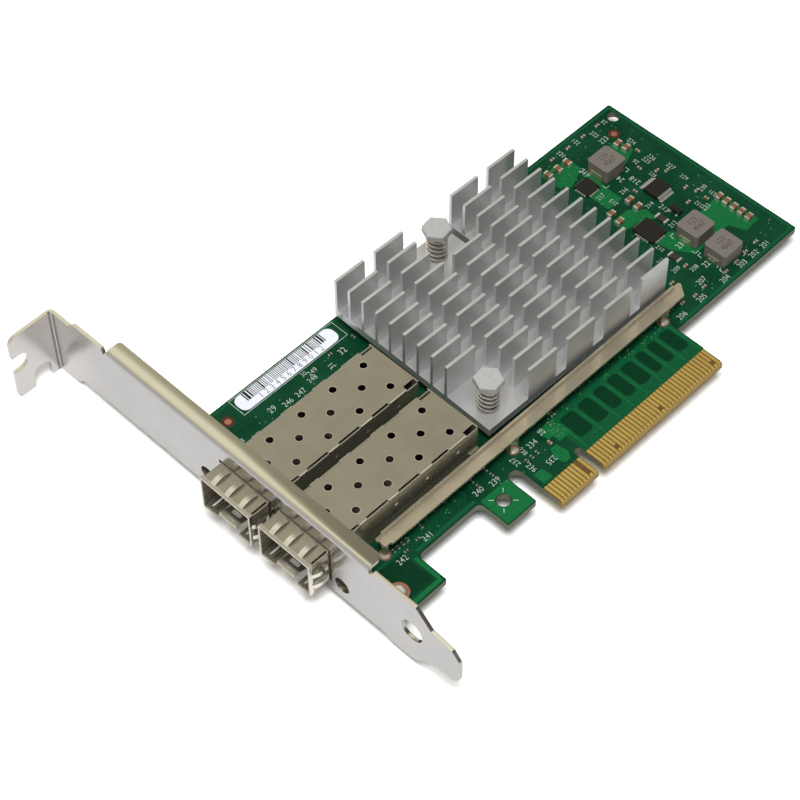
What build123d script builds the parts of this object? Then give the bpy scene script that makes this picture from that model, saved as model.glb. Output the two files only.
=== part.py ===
from build123d import *
import math
import os

# A two-port network card: a circuit board with a finned heatsink, two pluggable-module
# cages and a full-height mounting bracket.
# The frame is the card edge's own: X runs along the card from the bracket to its rear,
# with zero on the centre of the first contact; Y runs up from the bottom edge of the
# contact tongue; Z runs up from the board's component side. Millimetres.

# Board, from the card standard and the photograph
board_thick = 1.57
board_rear_x = 92.0
board_top_y = 68.9
board_lower_y = 4.45
board_recess_y = 12.5
board_rear_lower_y = 13.1
board_gap = 0.35
foot_end_x = -30.4
tab_start_x = -12.3
tab_end_x = -3.81
board_corner_r = 0.5

# Card-edge tongue
contact_pitch = 1.0
contact_wide = 0.7
contact_thick = 0.05
contact_low_y = 1.3
contact_short_low_y = 2.4
contact_high_y = 5.6
contact_count = 49
contacts_before_key = 11
contacts_missing = {10}
contacts_short = {17, 31, 48}
tongue_side = 0.65
key_wide = 1.9
key_high = 7.6
key_extra = 1.0
tongue_bevel_y = 1.25
tongue_bevel_z = 0.45
slot_top_y = 13.2

# Bracket sheet
sheet = 0.86
bracket_x = -46.4
bracket_long = 120.02
bracket_wide = 18.42
bracket_tail_wide = 10.19
tail_end_y = -14.1
body_low_z = -3.4
lip_deep = 11.43
lip_wide = 19.05
lip_low_z = -5.8
lip_slot_deep = 4.0
lip_slot_z = 4.9
lip_slot_wide = 4.6
hook_high_z = -0.3
hook_near = 4.4
hook_wide = 4.8
neck_y = 98.6
flange_deep = 4.1
flange_end_y = 10.3
flange_start_y = 87.2
bend_r = 1.3
nick_y = 70.5
status_holes = [(18.0, 0.9), (57.3, 0.9)]
status_hole_r = 2.0

# Module cages
cage_wide = 14.2
cage_pitch = 17.0
cage_first_y = 45.4
cage_front_x = -52.05
cage_rear_x = -3.7
cage_lift = 0.12
cage_top_z = 9.75
cage_sheet = 0.3
cage_count = 2
vent_r = 0.87
vent_pitch = 9.0
vent_row_y = 3.95
vent_first_x = -35.75
vent_mid_x = -40.2
cutout_gap = 0.45
slit_offset = 3.15
slit_longs = [7.4, 5.9, 5.9, 4.7]
slit_wide = 0.6
rear_slot_long = 3.1
rear_slot_wide = 1.2
dimple_offset = 8.25
dimple_z = 6.2
dimple_high = 0.2
latch_wide = 4.9
latch_long = 7.4
latch_rise = 1.4
latch_tip_r = 0.5
latch_side_gap = 0.85
band_deep = 0.9
finger_wide = 1.25
finger_thick = 0.14
finger_rise = 0.75
finger_pitch = 4.0

# Heatsink
sink_long = 54.8
sink_wide = 46.2
sink_centre_x = 27.73
sink_centre_y = 43.97
sink_turn = -1.0
sink_low_z = 2.8
sink_base = 2.0
sink_high_z = 14.2
fin_thick = 0.7
fin_rows = 12
fin_columns = 5
fin_gap = 3.25
chip_side = 25.0
pad_side = 18.0
pad_thick = 0.2

# Push pins, one at the heatsink's top edge and one in its lower corner
pin_top_offset = -0.73
pin_top_inset = 4.57
pin_corner_inset_x = 4.17
pin_corner_inset_y = 5.23
pin_shaft_r = 1.45
pin_hole_r = 1.65
pin_head_r = 3.35
pin_head_thick = 1.7
pin_top_z = 14.1
spring_r = 2.2
spring_wire_r = 0.24
spring_turns = 5
spring_steps = 16

# Stiffener bar, alongside the heatsink
bar_wide = 3.3
bar_sink_gap = 1.17
bar_cage_gap = 0.9
bar_thick = 0.7
bar_top_z = 4.0
bar_lip = 0.7
bar_near_x = -36.0
bar_far_x = 59.0
bar_slant = 2.5
leg_wide = 1.2
leg_hole_r = 0.95
leg_x = [2.43, 50.4]

# Fasteners
screw_places = [(-39.2, 9.3), (-39.2, 60.5)]
screw_r = 1.5
screw_gap = 0.15
screw_top_z = 0.8

# Host connectors inside the cages
connector_long = 10.5
connector_wide = 11.2
connector_high = 6.4
connector_slot_deep = 6.0
connector_slot_wide = 9.8
connector_slot_low = 2.7
connector_slot_high = 4.1
connector_rear_gap = 0.6
floor_gap = 0.6

# Label
label_long = 28.6
label_wide = 4.4
label_thick = 0.1
label_end_x = -1.2
label_top_gap = 0.7


# Helpers

def unit(a, b):
    size = math.hypot(b[0] - a[0], b[1] - a[1])
    return ((b[0] - a[0]) / size, (b[1] - a[1]) / size)


def outline(corners):
    # A closed face from corners given as (a, b) or (a, b, corner radius).
    ends = []
    count = len(corners)
    for i in range(count):
        here = corners[i]
        before = corners[i - 1]
        after = corners[(i + 1) % count]
        r = here[2] if len(here) > 2 else 0
        p = (here[0], here[1])
        if r <= 0:
            ends.append((p, None, p))
            continue
        u = unit(p, before)
        v = unit(p, after)
        half = math.acos(max(-1, min(1, u[0] * v[0] + u[1] * v[1]))) / 2
        run = r / math.tan(half)
        along = unit((0, 0), (u[0] + v[0], u[1] + v[1]))
        reach = r / math.sin(half) - r
        start = (p[0] + u[0] * run, p[1] + u[1] * run)
        middle = (p[0] + along[0] * reach, p[1] + along[1] * reach)
        end = (p[0] + v[0] * run, p[1] + v[1] * run)
        ends.append((start, middle, end))
    edges = []
    for i in range(count):
        start, middle, end = ends[i]
        if middle:
            edges.append(ThreePointArc(start, middle, end))
        following = ends[(i + 1) % count][0]
        if math.hypot(following[0] - end[0], following[1] - end[1]) > 1e-5:
            edges.append(Line(end, following))
    return make_face(edges)


def prism_z(corners, low, high):
    return extrude(Plane.XY.offset(low) * outline(corners), amount=high - low)


def prism_x(corners, low, high):
    # Corners are (y, z).
    plane = Plane(origin=(low, 0, 0), x_dir=(0, 1, 0), z_dir=(1, 0, 0))
    return extrude(plane * outline(corners), amount=high - low)


def prism_y(corners, low, high):
    # Corners are (x, z).
    plane = Plane(origin=(0, high, 0), x_dir=(1, 0, 0), z_dir=(0, -1, 0))
    return extrude(plane * outline(corners), amount=high - low)


def block(x0, x1, y0, y1, z0, z1):
    size = Box(x1 - x0, y1 - y0, z1 - z0)
    return Pos((x0 + x1) / 2, (y0 + y1) / 2, (z0 + z1) / 2) * size


def rod(x, y, r, z0, z1):
    return Pos(x, y, (z0 + z1) / 2) * Cylinder(r, z1 - z0)


def rod_x(y, z, r, x0, x1):
    return Pos((x0 + x1) / 2, y, z) * Rot(0, 90, 0) * Cylinder(r, x1 - x0)


def contact_x(number):
    # The key takes the room of two more contacts than it replaces.
    shift = key_extra * 2 if number > contacts_before_key else 0
    return (number - 1) * contact_pitch + shift


def save(name, *solids):
    shapes = []
    for solid in solids:
        shapes.extend(solid.solids())
    part = shapes[0] if len(shapes) == 1 else Compound(children=shapes)
    part.label = name
    export_step(part, "parts/" + name + ".step")


# Places derived from the dimensions above

bracket_in_x = bracket_x + sheet
board_front_x = bracket_in_x + board_gap
body_high_z = body_low_z + bracket_wide
lip_high_z = lip_low_z + lip_wide
lip_top_y = tail_end_y + bracket_long
lip_end_x = bracket_in_x - lip_deep - sheet
tail_low_z = body_low_z + bracket_wide / 2 - bracket_tail_wide / 2 - 0.8
tail_high_z = tail_low_z + bracket_tail_wide
key_x = (contact_x(contacts_before_key) + contact_x(contacts_before_key + 1)) / 2
tongue_start_x = -tongue_side
tongue_end_x = contact_x(contact_count) + tongue_side
cage_places = [cage_first_y - i * cage_pitch for i in range(cage_count)]
connector_front_x = cage_rear_x - cage_sheet - connector_rear_gap - connector_long
sink_top_z = sink_low_z + sink_base
sink_left_x = sink_centre_x - sink_long / 2
sink_lower_y = sink_centre_y - sink_wide / 2
sink_upper_y = sink_centre_y + sink_wide / 2
top_pin = (sink_centre_x + pin_top_offset, sink_upper_y - pin_top_inset)
corner_pin = (sink_left_x + pin_corner_inset_x, sink_lower_y + pin_corner_inset_y)
pin_places = [top_pin, corner_pin]
cage_lower_y = cage_places[-1] - cage_wide / 2
bar_high_y = min(sink_lower_y - bar_sink_gap, cage_lower_y - bar_cage_gap)
bar_low_y = bar_high_y - bar_wide
fin_pitch = (sink_wide - fin_thick) / (fin_rows - 1)
fin_long = (sink_long - fin_gap * (fin_columns - 1)) / fin_columns
column_pitch = fin_long + fin_gap
leg_y = bar_low_y + bar_thick / 2
slant_leg = (bar_near_x + 1.2, leg_y + 0.7)
leg_places = [slant_leg] + [(x, leg_y) for x in leg_x]


# Circuit board

def make_board():
    slot_r = (tongue_start_x - tab_end_x) / 2 - 0.05
    key_r = key_wide / 2 - 0.05
    corners = [
        (board_front_x, board_lower_y, board_corner_r),
        (foot_end_x, board_lower_y, 0.3),
        (foot_end_x, board_recess_y, 1.4),
        (tab_start_x, board_recess_y, 1.4),
        (tab_start_x, board_lower_y, 0.3),
        (tab_end_x, board_lower_y, 0.4),
        (tab_end_x, slot_top_y, slot_r),
        (tongue_start_x, slot_top_y, slot_r),
        (tongue_start_x, 0, 0.6),
        (key_x - key_wide / 2, 0, 0.3),
        (key_x - key_wide / 2, key_high, key_r),
        (key_x + key_wide / 2, key_high, key_r),
        (key_x + key_wide / 2, 0, 0.3),
        (tongue_end_x, 0, 0.6),
        (tongue_end_x, board_rear_lower_y, 0.8),
        (board_rear_x, board_rear_lower_y, board_corner_r),
        (board_rear_x, board_top_y, board_corner_r),
        (board_front_x, board_top_y, board_corner_r),
    ]
    board = prism_z(corners, -board_thick, 0)
    slope = tongue_bevel_z / tongue_bevel_y
    out = 0.5
    upper = [
        (tongue_bevel_y, 0),
        (tongue_bevel_y, out),
        (-out, out),
        (-out, -tongue_bevel_z - out * slope),
    ]
    lower = [(y, -board_thick - z) for y, z in upper]
    board -= prism_x(upper, tongue_start_x - 0.1, tongue_end_x + 0.1)
    board -= prism_x(lower, tongue_start_x - 0.1, tongue_end_x + 0.1)
    for x, y in pin_places:
        board -= rod(x, y, pin_hole_r, -board_thick - 1, 1)
    for x, y in leg_places:
        board -= rod(x, y, leg_hole_r, -board_thick - 1, 1)
    for x, y in screw_places:
        board -= rod(x, y, screw_r + screw_gap, -board_thick - 1, 1)
    for x, y, r in board_holes:
        board -= rod(x, y, r, -board_thick - 1, 1)
    return board


board_holes = [(89.8, 65.5, 1.49), (-8.41, 9.44, 1.59)]


# Gold contacts on both sides of the tongue

def make_contacts(low, high, missing, short):
    pads = []
    half = contact_wide / 2
    for number in range(1, contact_count + 1):
        if number in missing:
            continue
        x = contact_x(number)
        bottom = contact_short_low_y if number in short else contact_low_y
        pads.append(block(x - half, x + half, bottom, contact_high_y, low, high))
    return pads


# Bracket, one folded sheet

def make_bracket():
    top = body_high_z
    neck_top = lip_high_z
    relief = 1.5
    body = [
        (neck_y, lip_low_z + 0.6, 0.5),
        (neck_y + 3.4, lip_low_z),
        (lip_top_y - bend_r, lip_low_z),
        (lip_top_y - bend_r, neck_top),
        (neck_y + 0.7, neck_top),
        (neck_y - 1.1, top, 0.6),
        (flange_start_y + 1.3, top, 0.3),
        (flange_start_y + 0.9, top - relief),
        (flange_start_y, top - relief),
        (flange_start_y, top - bend_r),
        (flange_end_y, top - bend_r),
        (flange_end_y, top - relief),
        (flange_end_y - 0.9, top - relief),
        (flange_end_y - 1.3, top, 0.3),
        (-2.4, top, 0.8),
        (-6.5, tail_high_z + 0.9, 1.0),
        (-12.1, tail_high_z, 1.0),
        (tail_end_y, tail_high_z - 2.2, 0.8),
        (tail_end_y, tail_low_z + 2.0, 1.2),
        (tail_end_y + 1.6, tail_low_z, 1.0),
        (-6.9, tail_low_z, 0.8),
        (-5.5, tail_low_z - 0.7, 0.8),
        (-3.0, body_low_z - 0.2, 0.8),
        (-1.6, body_low_z - 0.9, 0.6),
        (3.9, body_low_z - 0.9, 0.6),
        (5.8, body_low_z, 0.6),
        (nick_y - 0.9, body_low_z),
        (nick_y - 0.4, body_low_z + 0.35),
        (nick_y + 0.4, body_low_z + 0.35),
        (nick_y + 0.9, body_low_z),
        (neck_y - 1.4, body_low_z, 0.8),
    ]
    bracket = prism_x(body, bracket_x, bracket_in_x)
    # Lip and its bend, swept across the sheet, then cut to outline
    bend = [
        (bracket_x, lip_top_y - bend_r - 3),
        (bracket_in_x, lip_top_y - bend_r - 3),
        (bracket_in_x, lip_top_y, bend_r),
        (lip_end_x, lip_top_y),
        (lip_end_x, lip_top_y - sheet),
        (bracket_x, lip_top_y - sheet, bend_r - sheet),
    ]
    lip = prism_z(bend, lip_low_z, lip_high_z)
    over = lip_top_y + 1
    under = lip_top_y - bend_r - 0.2
    slot_low = lip_slot_z - lip_slot_wide / 2
    slot_high = lip_slot_z + lip_slot_wide / 2
    slot_end = lip_end_x + lip_slot_deep
    hook_start = lip_end_x + hook_near
    hook_end = hook_start + hook_wide
    cuts = [
        # screw slot, open at the lip's end
        [(lip_end_x - 1, slot_low), (slot_end, slot_low, 2.2),
         (slot_end, slot_high, 2.2), (lip_end_x - 1, slot_high)],
        # hook recess from the lower edge
        [(hook_start, lip_low_z - 1), (hook_start, hook_high_z, 2.3),
         (hook_end, hook_high_z, 2.3), (hook_end, lip_low_z - 1)],
    ]
    for corners in cuts:
        lip -= prism_y(corners, under, over)
    # rounded outer corners of the lip
    keep = [
        (lip_end_x, lip_low_z, 1.6),
        (bracket_in_x + 1, lip_low_z),
        (bracket_in_x + 1, lip_high_z),
        (lip_end_x, lip_high_z, 2.2),
    ]
    lip &= prism_y(keep, lip_top_y - bend_r - 4, over)
    bracket += lip
    # Flange and its bend along the upper edge
    fold = [
        (bracket_x, top - bend_r),
        (bracket_in_x, top - bend_r),
        (bracket_in_x, top - sheet, bend_r - sheet),
        (bracket_x + flange_deep, top - sheet),
        (bracket_x + flange_deep, top),
        (bracket_x, top, bend_r),
    ]
    flange = prism_y(fold, flange_end_y, flange_start_y)
    shape = [
        (bracket_x - 1, flange_end_y),
        (bracket_x + flange_deep, flange_end_y, 1.3),
        (bracket_x + flange_deep, flange_start_y, 0.9),
        (bracket_x - 1, flange_start_y),
    ]
    flange &= prism_z(shape, body_low_z, top + 1)
    bracket += flange
    # Tabs under the board for the two screws
    for x, y in screw_places:
        tab_low = -board_thick - sheet
        tab = block(bracket_x + 0.2, x + 3.2, y - 3.2, y + 3.2, tab_low, -board_thick)
        tab -= rod(x, y, screw_r + screw_gap, tab_low - 1, 0)
        bracket += tab
    # Cage openings, status holes and tail hole
    for y in cage_places:
        half = cage_wide / 2 + cutout_gap
        low = cage_lift - 0.9
        high = cage_top_z + cutout_gap
        bracket -= block(bracket_x - 1, bracket_in_x + 0.1, y - half, y + half, low, high)
    for y, z in status_holes:
        bracket -= rod_x(y, z, status_hole_r, bracket_x - 1, bracket_in_x + 0.1)
    bracket -= rod_x(-1.4, 5.6, 2.85, bracket_x - 1, bracket_in_x + 0.1)
    return bracket


# One module cage: cover, floor, contact springs and the connector inside

def make_cover(y):
    half = cage_wide / 2
    low = cage_lift
    cover = block(cage_front_x, cage_rear_x, y - half, y + half, low, cage_top_z)
    inner = half - cage_sheet
    roof = cage_top_z - cage_sheet
    cover -= block(cage_front_x - 1, cage_rear_x - cage_sheet, y - inner, y + inner, low - 1, roof)
    spots = []
    for i in range(4):
        spots.append((vent_first_x + i * vent_pitch, y + vent_row_y))
        spots.append((vent_first_x + i * vent_pitch, y - vent_row_y))
        spots.append((vent_mid_x + i * vent_pitch, y))
    for px, py in spots:
        cover -= rod(px, py, vent_r, roof - 1, cage_top_z + 1)
    # slits along both folds, and a wider one at the rear corner
    slits = [(cage_front_x + 1.2, bracket_x - 0.3, slit_wide, 0.1)]
    for i, long in enumerate(slit_longs):
        middle = vent_first_x + slit_offset + (i - 1) * vent_pitch
        slits.append((middle - long / 2, middle + long / 2, slit_wide, 0.1))
    rear = cage_rear_x - cage_sheet
    slits.append((rear - rear_slot_long, rear, rear_slot_wide, 0.4))
    for start, end, wide, deep in slits:
        for side in (-1, 1):
            edge = half + 0.1 - wide / 2
            slit = Box(end - start, wide + 0.2, 2)
            cover -= Pos((start + end) / 2, y + side * edge, roof - deep + 1) * slit
    # dimples pressed outwards in both walls, and a tab at the foot of the rear corners
    ball = (0.6 ** 2 + dimple_high ** 2) / (2 * dimple_high)
    for side in (-1, 1):
        wall = y + side * half
        for i in range(3):
            px = vent_first_x + dimple_offset + i * vent_pitch
            cap = Pos(px, wall - side * (ball - dimple_high), dimple_z) * Sphere(ball)
            cap &= Pos(px, wall + side * 0.25, dimple_z) * Box(2, 0.5, 2)
            cover += cap
        edge = wall + side * 0.2
        cover += block(cage_rear_x - 2.6, cage_rear_x, edge - 0.2, edge + 0.2, 2.5, 2.7)
    return cover


def make_floor(y):
    half = cage_wide / 2 - cage_sheet - 0.08
    low = cage_lift
    high = low + cage_sheet
    front = cage_front_x + 0.15
    bay = latch_wide / 2 + latch_side_gap
    root = front + latch_long
    floor = block(front, connector_front_x - floor_gap, y - half, y + half, low, high)
    floor -= block(front - 1, root, y - bay, y + bay, low - 1, high + 1)
    # two slots in the strip on each side of the latch
    for side in (-1, 1):
        for part in (1, 2):
            middle = y + side * (bay + (half - bay) * part / 3)
            floor -= block(front + 0.9, front + 4.6, middle - 0.28, middle + 0.28, low - 1, high + 1)
    # latch tongue, rising to a rolled tip at the front, with its window
    tip = front + latch_tip_r
    raised = low + latch_rise
    blade = [
        (root + 0.4, low),
        (root + 0.4, high),
        (root, high),
        (tip, raised + cage_sheet),
        (tip, raised),
        (root, low),
    ]
    tongue = prism_y(blade, y - latch_wide / 2, y + latch_wide / 2)
    window = [
        (tip + 1.6, y - 1.3, 0.45),
        (tip + 2.6, y - 1.3, 0.45),
        (tip + 2.6, y + 1.3, 0.45),
        (tip + 1.6, y + 1.3, 0.45),
    ]
    tongue -= prism_z(window, low - 1, raised + 1)
    roll = Rot(90, 0, 0) * Cylinder(latch_tip_r, latch_wide)
    tongue += Pos(tip, y, raised + cage_sheet / 2) * roll
    return floor + tongue


def make_springs(y):
    # A band round the snout's front edge, open under the latch, and bowed fingers from
    # it: three above, two on each side and two below.
    half = cage_wide / 2
    outer = half + finger_thick
    front = cage_front_x
    bay = latch_wide / 2 + latch_side_gap
    low = cage_lift
    band = block(front, front + band_deep, y - outer, y + outer,
                 low - finger_thick, cage_top_z + finger_thick)
    band -= block(front - 1, front + 2, y - half, y + half, low, cage_top_z)
    band -= block(front - 1, front + 2, y - bay, y + bay, low - 1, low + 1)
    fingers = []
    above = Plane.XZ
    for offset in (-finger_pitch, 0, finger_pitch):
        bow = above.offset(-(y + offset + finger_wide / 2)) * bow_face(cage_top_z, 1)
        fingers.append(extrude(bow, amount=finger_wide))
    under = (bay + half) / 2
    for offset in (-under, under):
        bow = above.offset(-(y + offset + finger_wide / 2)) * bow_face(low, -1)
        fingers.append(extrude(bow, amount=finger_wide))
    for side in (-1, 1):
        for middle in (cage_top_z / 4, cage_top_z * 5 / 8):
            bow = Plane.XY.offset(middle - finger_wide / 2) * bow_face(y + side * half, side)
            fingers.append(extrude(bow, amount=finger_wide))
    return band.fuse(*fingers)


def bow_face(base, way):
    # A bowed finger seen from its edge, bulging one way from a flat face.
    start = cage_front_x + band_deep - 0.3
    end = bracket_x - 0.35
    middle = (start + end) / 2
    inner = [(start, base), (middle, base + way * finger_rise), (end, base + way * 0.1)]
    outer = [(px, py + way * finger_thick) for px, py in inner]
    edges = [
        ThreePointArc(inner[0], inner[1], inner[2]),
        Line(inner[2], outer[2]),
        ThreePointArc(outer[2], outer[1], outer[0]),
        Line(outer[0], inner[0]),
    ]
    return make_face(edges)


def make_connector(y):
    front = connector_front_x
    rear = front + connector_long
    half = connector_wide / 2
    slot = connector_slot_wide / 2
    body = block(front, rear, y - half, y + half, 0, connector_high)
    body -= block(front - 1, front + connector_slot_deep, y - slot, y + slot,
                  connector_slot_low, connector_slot_high)
    return body


# Heatsink, one cross-cut extrusion

def sink_place():
    return Pos(sink_centre_x, sink_centre_y, 0) * Rot(0, 0, sink_turn)


def make_heatsink():
    x0 = -sink_long / 2
    y1 = sink_wide / 2
    sink = block(x0, -x0, -y1, y1, sink_low_z, sink_top_z)
    removed = {(3, 1), (3, 2), (3, 3), (1, 10), (1, 11), (1, 12)}
    fins = []
    for column in range(fin_columns):
        for row in range(fin_rows):
            if (column + 1, row + 1) in removed:
                continue
            fx = x0 + column * column_pitch
            fy = y1 - row * fin_pitch
            fins.append(block(fx, fx + fin_long, fy - fin_thick, fy, sink_top_z, sink_high_z))
    sink = sink.fuse(*fins)
    # slit through the base beside the upper pin
    slit_x = x0 + 3 * column_pitch
    slit_deep = 2.6 * fin_pitch
    sink -= block(slit_x - 1.5, slit_x - 0.1, y1 - slit_deep, y1 + 1, sink_low_z - 1, sink_top_z + 1)
    sink = sink_place() * sink
    for x, y in pin_places:
        sink -= rod(x, y, pin_hole_r + 0.1, sink_low_z - 1, sink_top_z + 1)
    return sink


# Push pins and their springs

def make_pin(x, y):
    head_low = pin_top_z - pin_head_thick
    head = extrude(Plane.XY.offset(head_low) * RegularPolygon(pin_head_r, 6), amount=pin_head_thick)
    head = chamfer(head.edges().group_by(Axis.Z)[-1], 0.25)
    barb_top = -board_thick - 0.1
    pin = Rot(0, 0, 8) * head
    pin += rod(0, 0, pin_shaft_r, barb_top - 0.5, head_low)
    barb = [
        (0, barb_top - 3.0),
        (0.7, barb_top - 3.0),
        (2.0, barb_top - 0.5),
        (2.0, barb_top),
        (0, barb_top),
    ]
    pin += revolve(Plane.XZ * outline(barb), Axis.Z)
    return Pos(x, y, 0) * pin


def make_coil(x, y):
    low = sink_top_z + spring_wire_r + 0.02
    high = pin_top_z - pin_head_thick - spring_wire_r - 0.02
    pitch = (high - low) / spring_turns
    steps = spring_turns * spring_steps
    points = []
    for i in range(steps + 1):
        turn = 2 * math.pi * i / spring_steps
        points.append((spring_r * math.cos(turn), spring_r * math.sin(turn), pitch * i / spring_steps))
    path = Polyline(*points)
    wire = Plane(origin=path @ 0, z_dir=path % 0) * RegularPolygon(spring_wire_r, 6)
    coil = sweep(wire, path=path, transition=Transition.RIGHT)
    return Pos(x, y, low) * coil


# Stiffener bar with its three legs

def make_bar():
    low_z = bar_top_z - bar_thick
    plate = [
        (bar_near_x, bar_high_y, 0.5),
        (bar_near_x + bar_slant, bar_low_y, 0.3),
        (bar_far_x - bar_slant, bar_low_y, 0.3),
        (bar_far_x, bar_high_y, 0.5),
    ]
    bar = prism_z(plate, low_z, bar_top_z)
    lip = block(bar_near_x + 2.2, bar_far_x - 2.6, bar_high_y - 0.6, bar_high_y,
                low_z, bar_top_z + bar_lip)
    bar += lip
    for x in leg_x:
        bar += block(x - leg_wide, x + leg_wide, bar_low_y, bar_low_y + bar_thick, 0.15, low_z)
        bar += block(x - leg_wide / 2, x + leg_wide / 2, bar_low_y, bar_low_y + bar_thick,
                     -board_thick - 0.6, 0.15)
    x, y = slant_leg
    bar += rod(x + 0.15, y + 0.1, 0.75, -board_thick - 0.6, low_z)
    bar += block(x - 0.5, x + 1.6, y - 0.6, y + 0.9, low_z, bar_top_z)
    return bar


# Controller chip under the heatsink, and its thermal pad

def make_chip():
    half = chip_side / 2
    return sink_place() * block(-half, half, -half, half, 0, sink_low_z - pad_thick)


def make_thermal_pad():
    half = pad_side / 2
    return sink_place() * block(-half, half, -half, half, sink_low_z - pad_thick, sink_low_z)


# Screws with washers, plated rings and fiducials

def make_screws():
    screws = []
    for x, y in screw_places:
        head_top = -board_thick - sheet
        screw = rod(x, y, 2.4, head_top - 0.9, head_top)
        shank = rod(x, y, screw_r, head_top, screw_top_z)
        shank = chamfer(shank.edges().group_by(Axis.Z)[-1], 0.45)
        screws.append(screw + shank)
    return screws


leg_ring_r = 1.45
screw_ring_r = 2.3
fiducial_r = 0.75
fiducial_places = [(-33.96, 64.69), (85.65, 61.72)]


def ring(x, y, outer, inner):
    return rod(x, y, outer, 0, contact_thick) - rod(x, y, inner, -1, 1)


def make_rings():
    rings = [ring(x, y, leg_ring_r, leg_hole_r) for x, y in leg_places]
    rings += [ring(x, y, screw_ring_r, screw_r + screw_gap) for x, y in screw_places]
    return rings


def make_fiducials():
    return [rod(x, y, fiducial_r, 0, contact_thick) for x, y in fiducial_places]


# Surface-mounted components

inductor_size = (6.5, 6.2, 3.9)
inductor_places = [(75.5, 55.4), (74.4, 28.1), (74.3, 20.0)]


def make_inductors():
    bodies = []
    ends = []
    a, b, high = inductor_size
    for x, y in inductor_places:
        body = block(x - a / 2, x + a / 2, y - b / 2, y + b / 2, 0.15, high)
        bodies.append(chamfer(body.edges().filter_by(Axis.Z), 0.5))
        for side in (-1, 1):
            wall = x + side * a / 2
            near = min(wall, wall + side * 0.25)
            ends.append(block(near, near + 0.25, y - 1.6, y + 1.6, 0, 1.8))
    return bodies, ends


def make_flat_chip(place, size):
    x, y = place
    a, b, high = size
    return block(x - a / 2, x + a / 2, y - b / 2, y + b / 2, 0, high)


def make_flat_chip_pads(place, size, counts):
    x, y = place
    a, b, high = size
    per_x, per_y = counts
    pads = []
    out = 0.3
    for side in (-1, 1):
        for i in range(per_x):
            px = x + (i - (per_x - 1) / 2) * 0.65
            wall = y + side * b / 2
            low = min(wall, wall + side * out)
            pads.append(block(px - 0.14, px + 0.14, low, low + out, 0, 0.08))
        for i in range(per_y):
            py = y + (i - (per_y - 1) / 2) * 0.65
            wall = x + side * a / 2
            low = min(wall, wall + side * out)
            pads.append(block(low, low + out, py - 0.14, py + 0.14, 0, 0.08))
    return pads


gullwing_size = (4.9, 3.9, 1.1)
gullwing_place = (78.95, 43.0)
gullwing_pitch = 0.5
gullwing_count = 9


def make_gullwing():
    x, y = gullwing_place
    a, b, high = gullwing_size
    body = block(x - a / 2, x + a / 2, y - b / 2, y + b / 2, 0.1, high)
    leads = []
    for side in (-1, 1):
        for i in range(gullwing_count):
            px = x + (i - (gullwing_count - 1) / 2) * gullwing_pitch
            wall = y + side * b / 2
            step = [
                (wall, 0.55),
                (wall, 0.7),
                (wall + side * 0.6, 0.7),
                (wall + side * 0.8, 0.15),
                (wall + side * 1.4, 0.15),
                (wall + side * 1.4, 0),
                (wall + side * 0.65, 0),
                (wall + side * 0.45, 0.55),
            ]
            leads.append(prism_x(step, px - 0.13, px + 0.13))
    return body, leads


transistor_place = (77.07, 35.74)


def make_transistor():
    x, y = transistor_place
    body = block(x - 0.65, x + 0.65, y - 1.45, y + 1.45, 0.1, 1.1)
    leads = []
    for dx, dy in ((1, 0), (-1, 0.95), (-1, -0.95)):
        wall = x + dx * 0.65
        low = min(wall, wall + dx * 0.6)
        leads.append(block(low, low + 0.6, y + dy - 0.2, y + dy + 0.2, 0, 0.2))
    return body, leads


def two_ended(x, y, along, long, wide, high, end):
    # One chip part: its body between two metal ends, along "x" or "y".
    half = long / 2
    core = half - end
    if along == "x":
        body = block(x - core, x + core, y - wide / 2, y + wide / 2, 0, high)
        ends = [block(x - half, x - core, y - wide / 2, y + wide / 2, 0, high),
                block(x + core, x + half, y - wide / 2, y + wide / 2, 0, high)]
    else:
        body = block(x - wide / 2, x + wide / 2, y - core, y + core, 0, high)
        ends = [block(x - wide / 2, x + wide / 2, y - half, y - core, 0, high),
                block(x - wide / 2, x + wide / 2, y + core, y + half, 0, high)]
    return body, ends


def make_two_ended(places, size):
    long, wide, high, end = size
    bodies = []
    ends = []
    for x, y, along in places:
        body, pair = two_ended(x, y, along, long, wide, high, end)
        bodies.append(body)
        ends += pair
    return bodies, ends


capacitor_places = [
    (64.86, 63.50, "y"), (67.78, 63.09, "y"), (70.79, 62.96, "y"),
    (83.41, 58.62, "x"), (83.75, 56.38, "x"),
    (71.90, 45.11, "x"), (71.67, 42.44, "x"), (65.80, 45.23, "x"), (65.40, 42.41, "x"),
    (86.79, 31.22, "x"), (86.74, 29.02, "x"), (86.63, 26.80, "x"), (86.67, 24.61, "x"),
    (86.61, 22.45, "x"),
]
resistor_places = [(72.94, 36.39, "y"), (66.1, 26.83, "y")]
small_places = [
    (74.66, 66.18, "x"), (79.82, 66.17, "x"), (84.71, 66.13, "x"), (69.39, 66.33, "x"),
    (85.19, 54.10, "y"), (81.29, 50.22, "y"), (83.46, 46.84, "x"), (85.04, 45.20, "x"),
    (75.16, 46.16, "y"), (84.09, 38.74, "x"), (85.01, 36.31, "x"), (84.80, 33.20, "y"),
    (80.96, 35.37, "x"), (82.12, 16.86, "x"), (78.26, 16.58, "x"), (74.71, 16.20, "x"),
    (70.81, 16.00, "x"), (64.05, 16.67, "x"), (60.69, 16.40, "x"), (57.1, 17.0, "x"),
    (65.9, 23.5, "x"), (59.9, 22.4, "x"), (8.9, 12.4, "y"),
]
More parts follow.
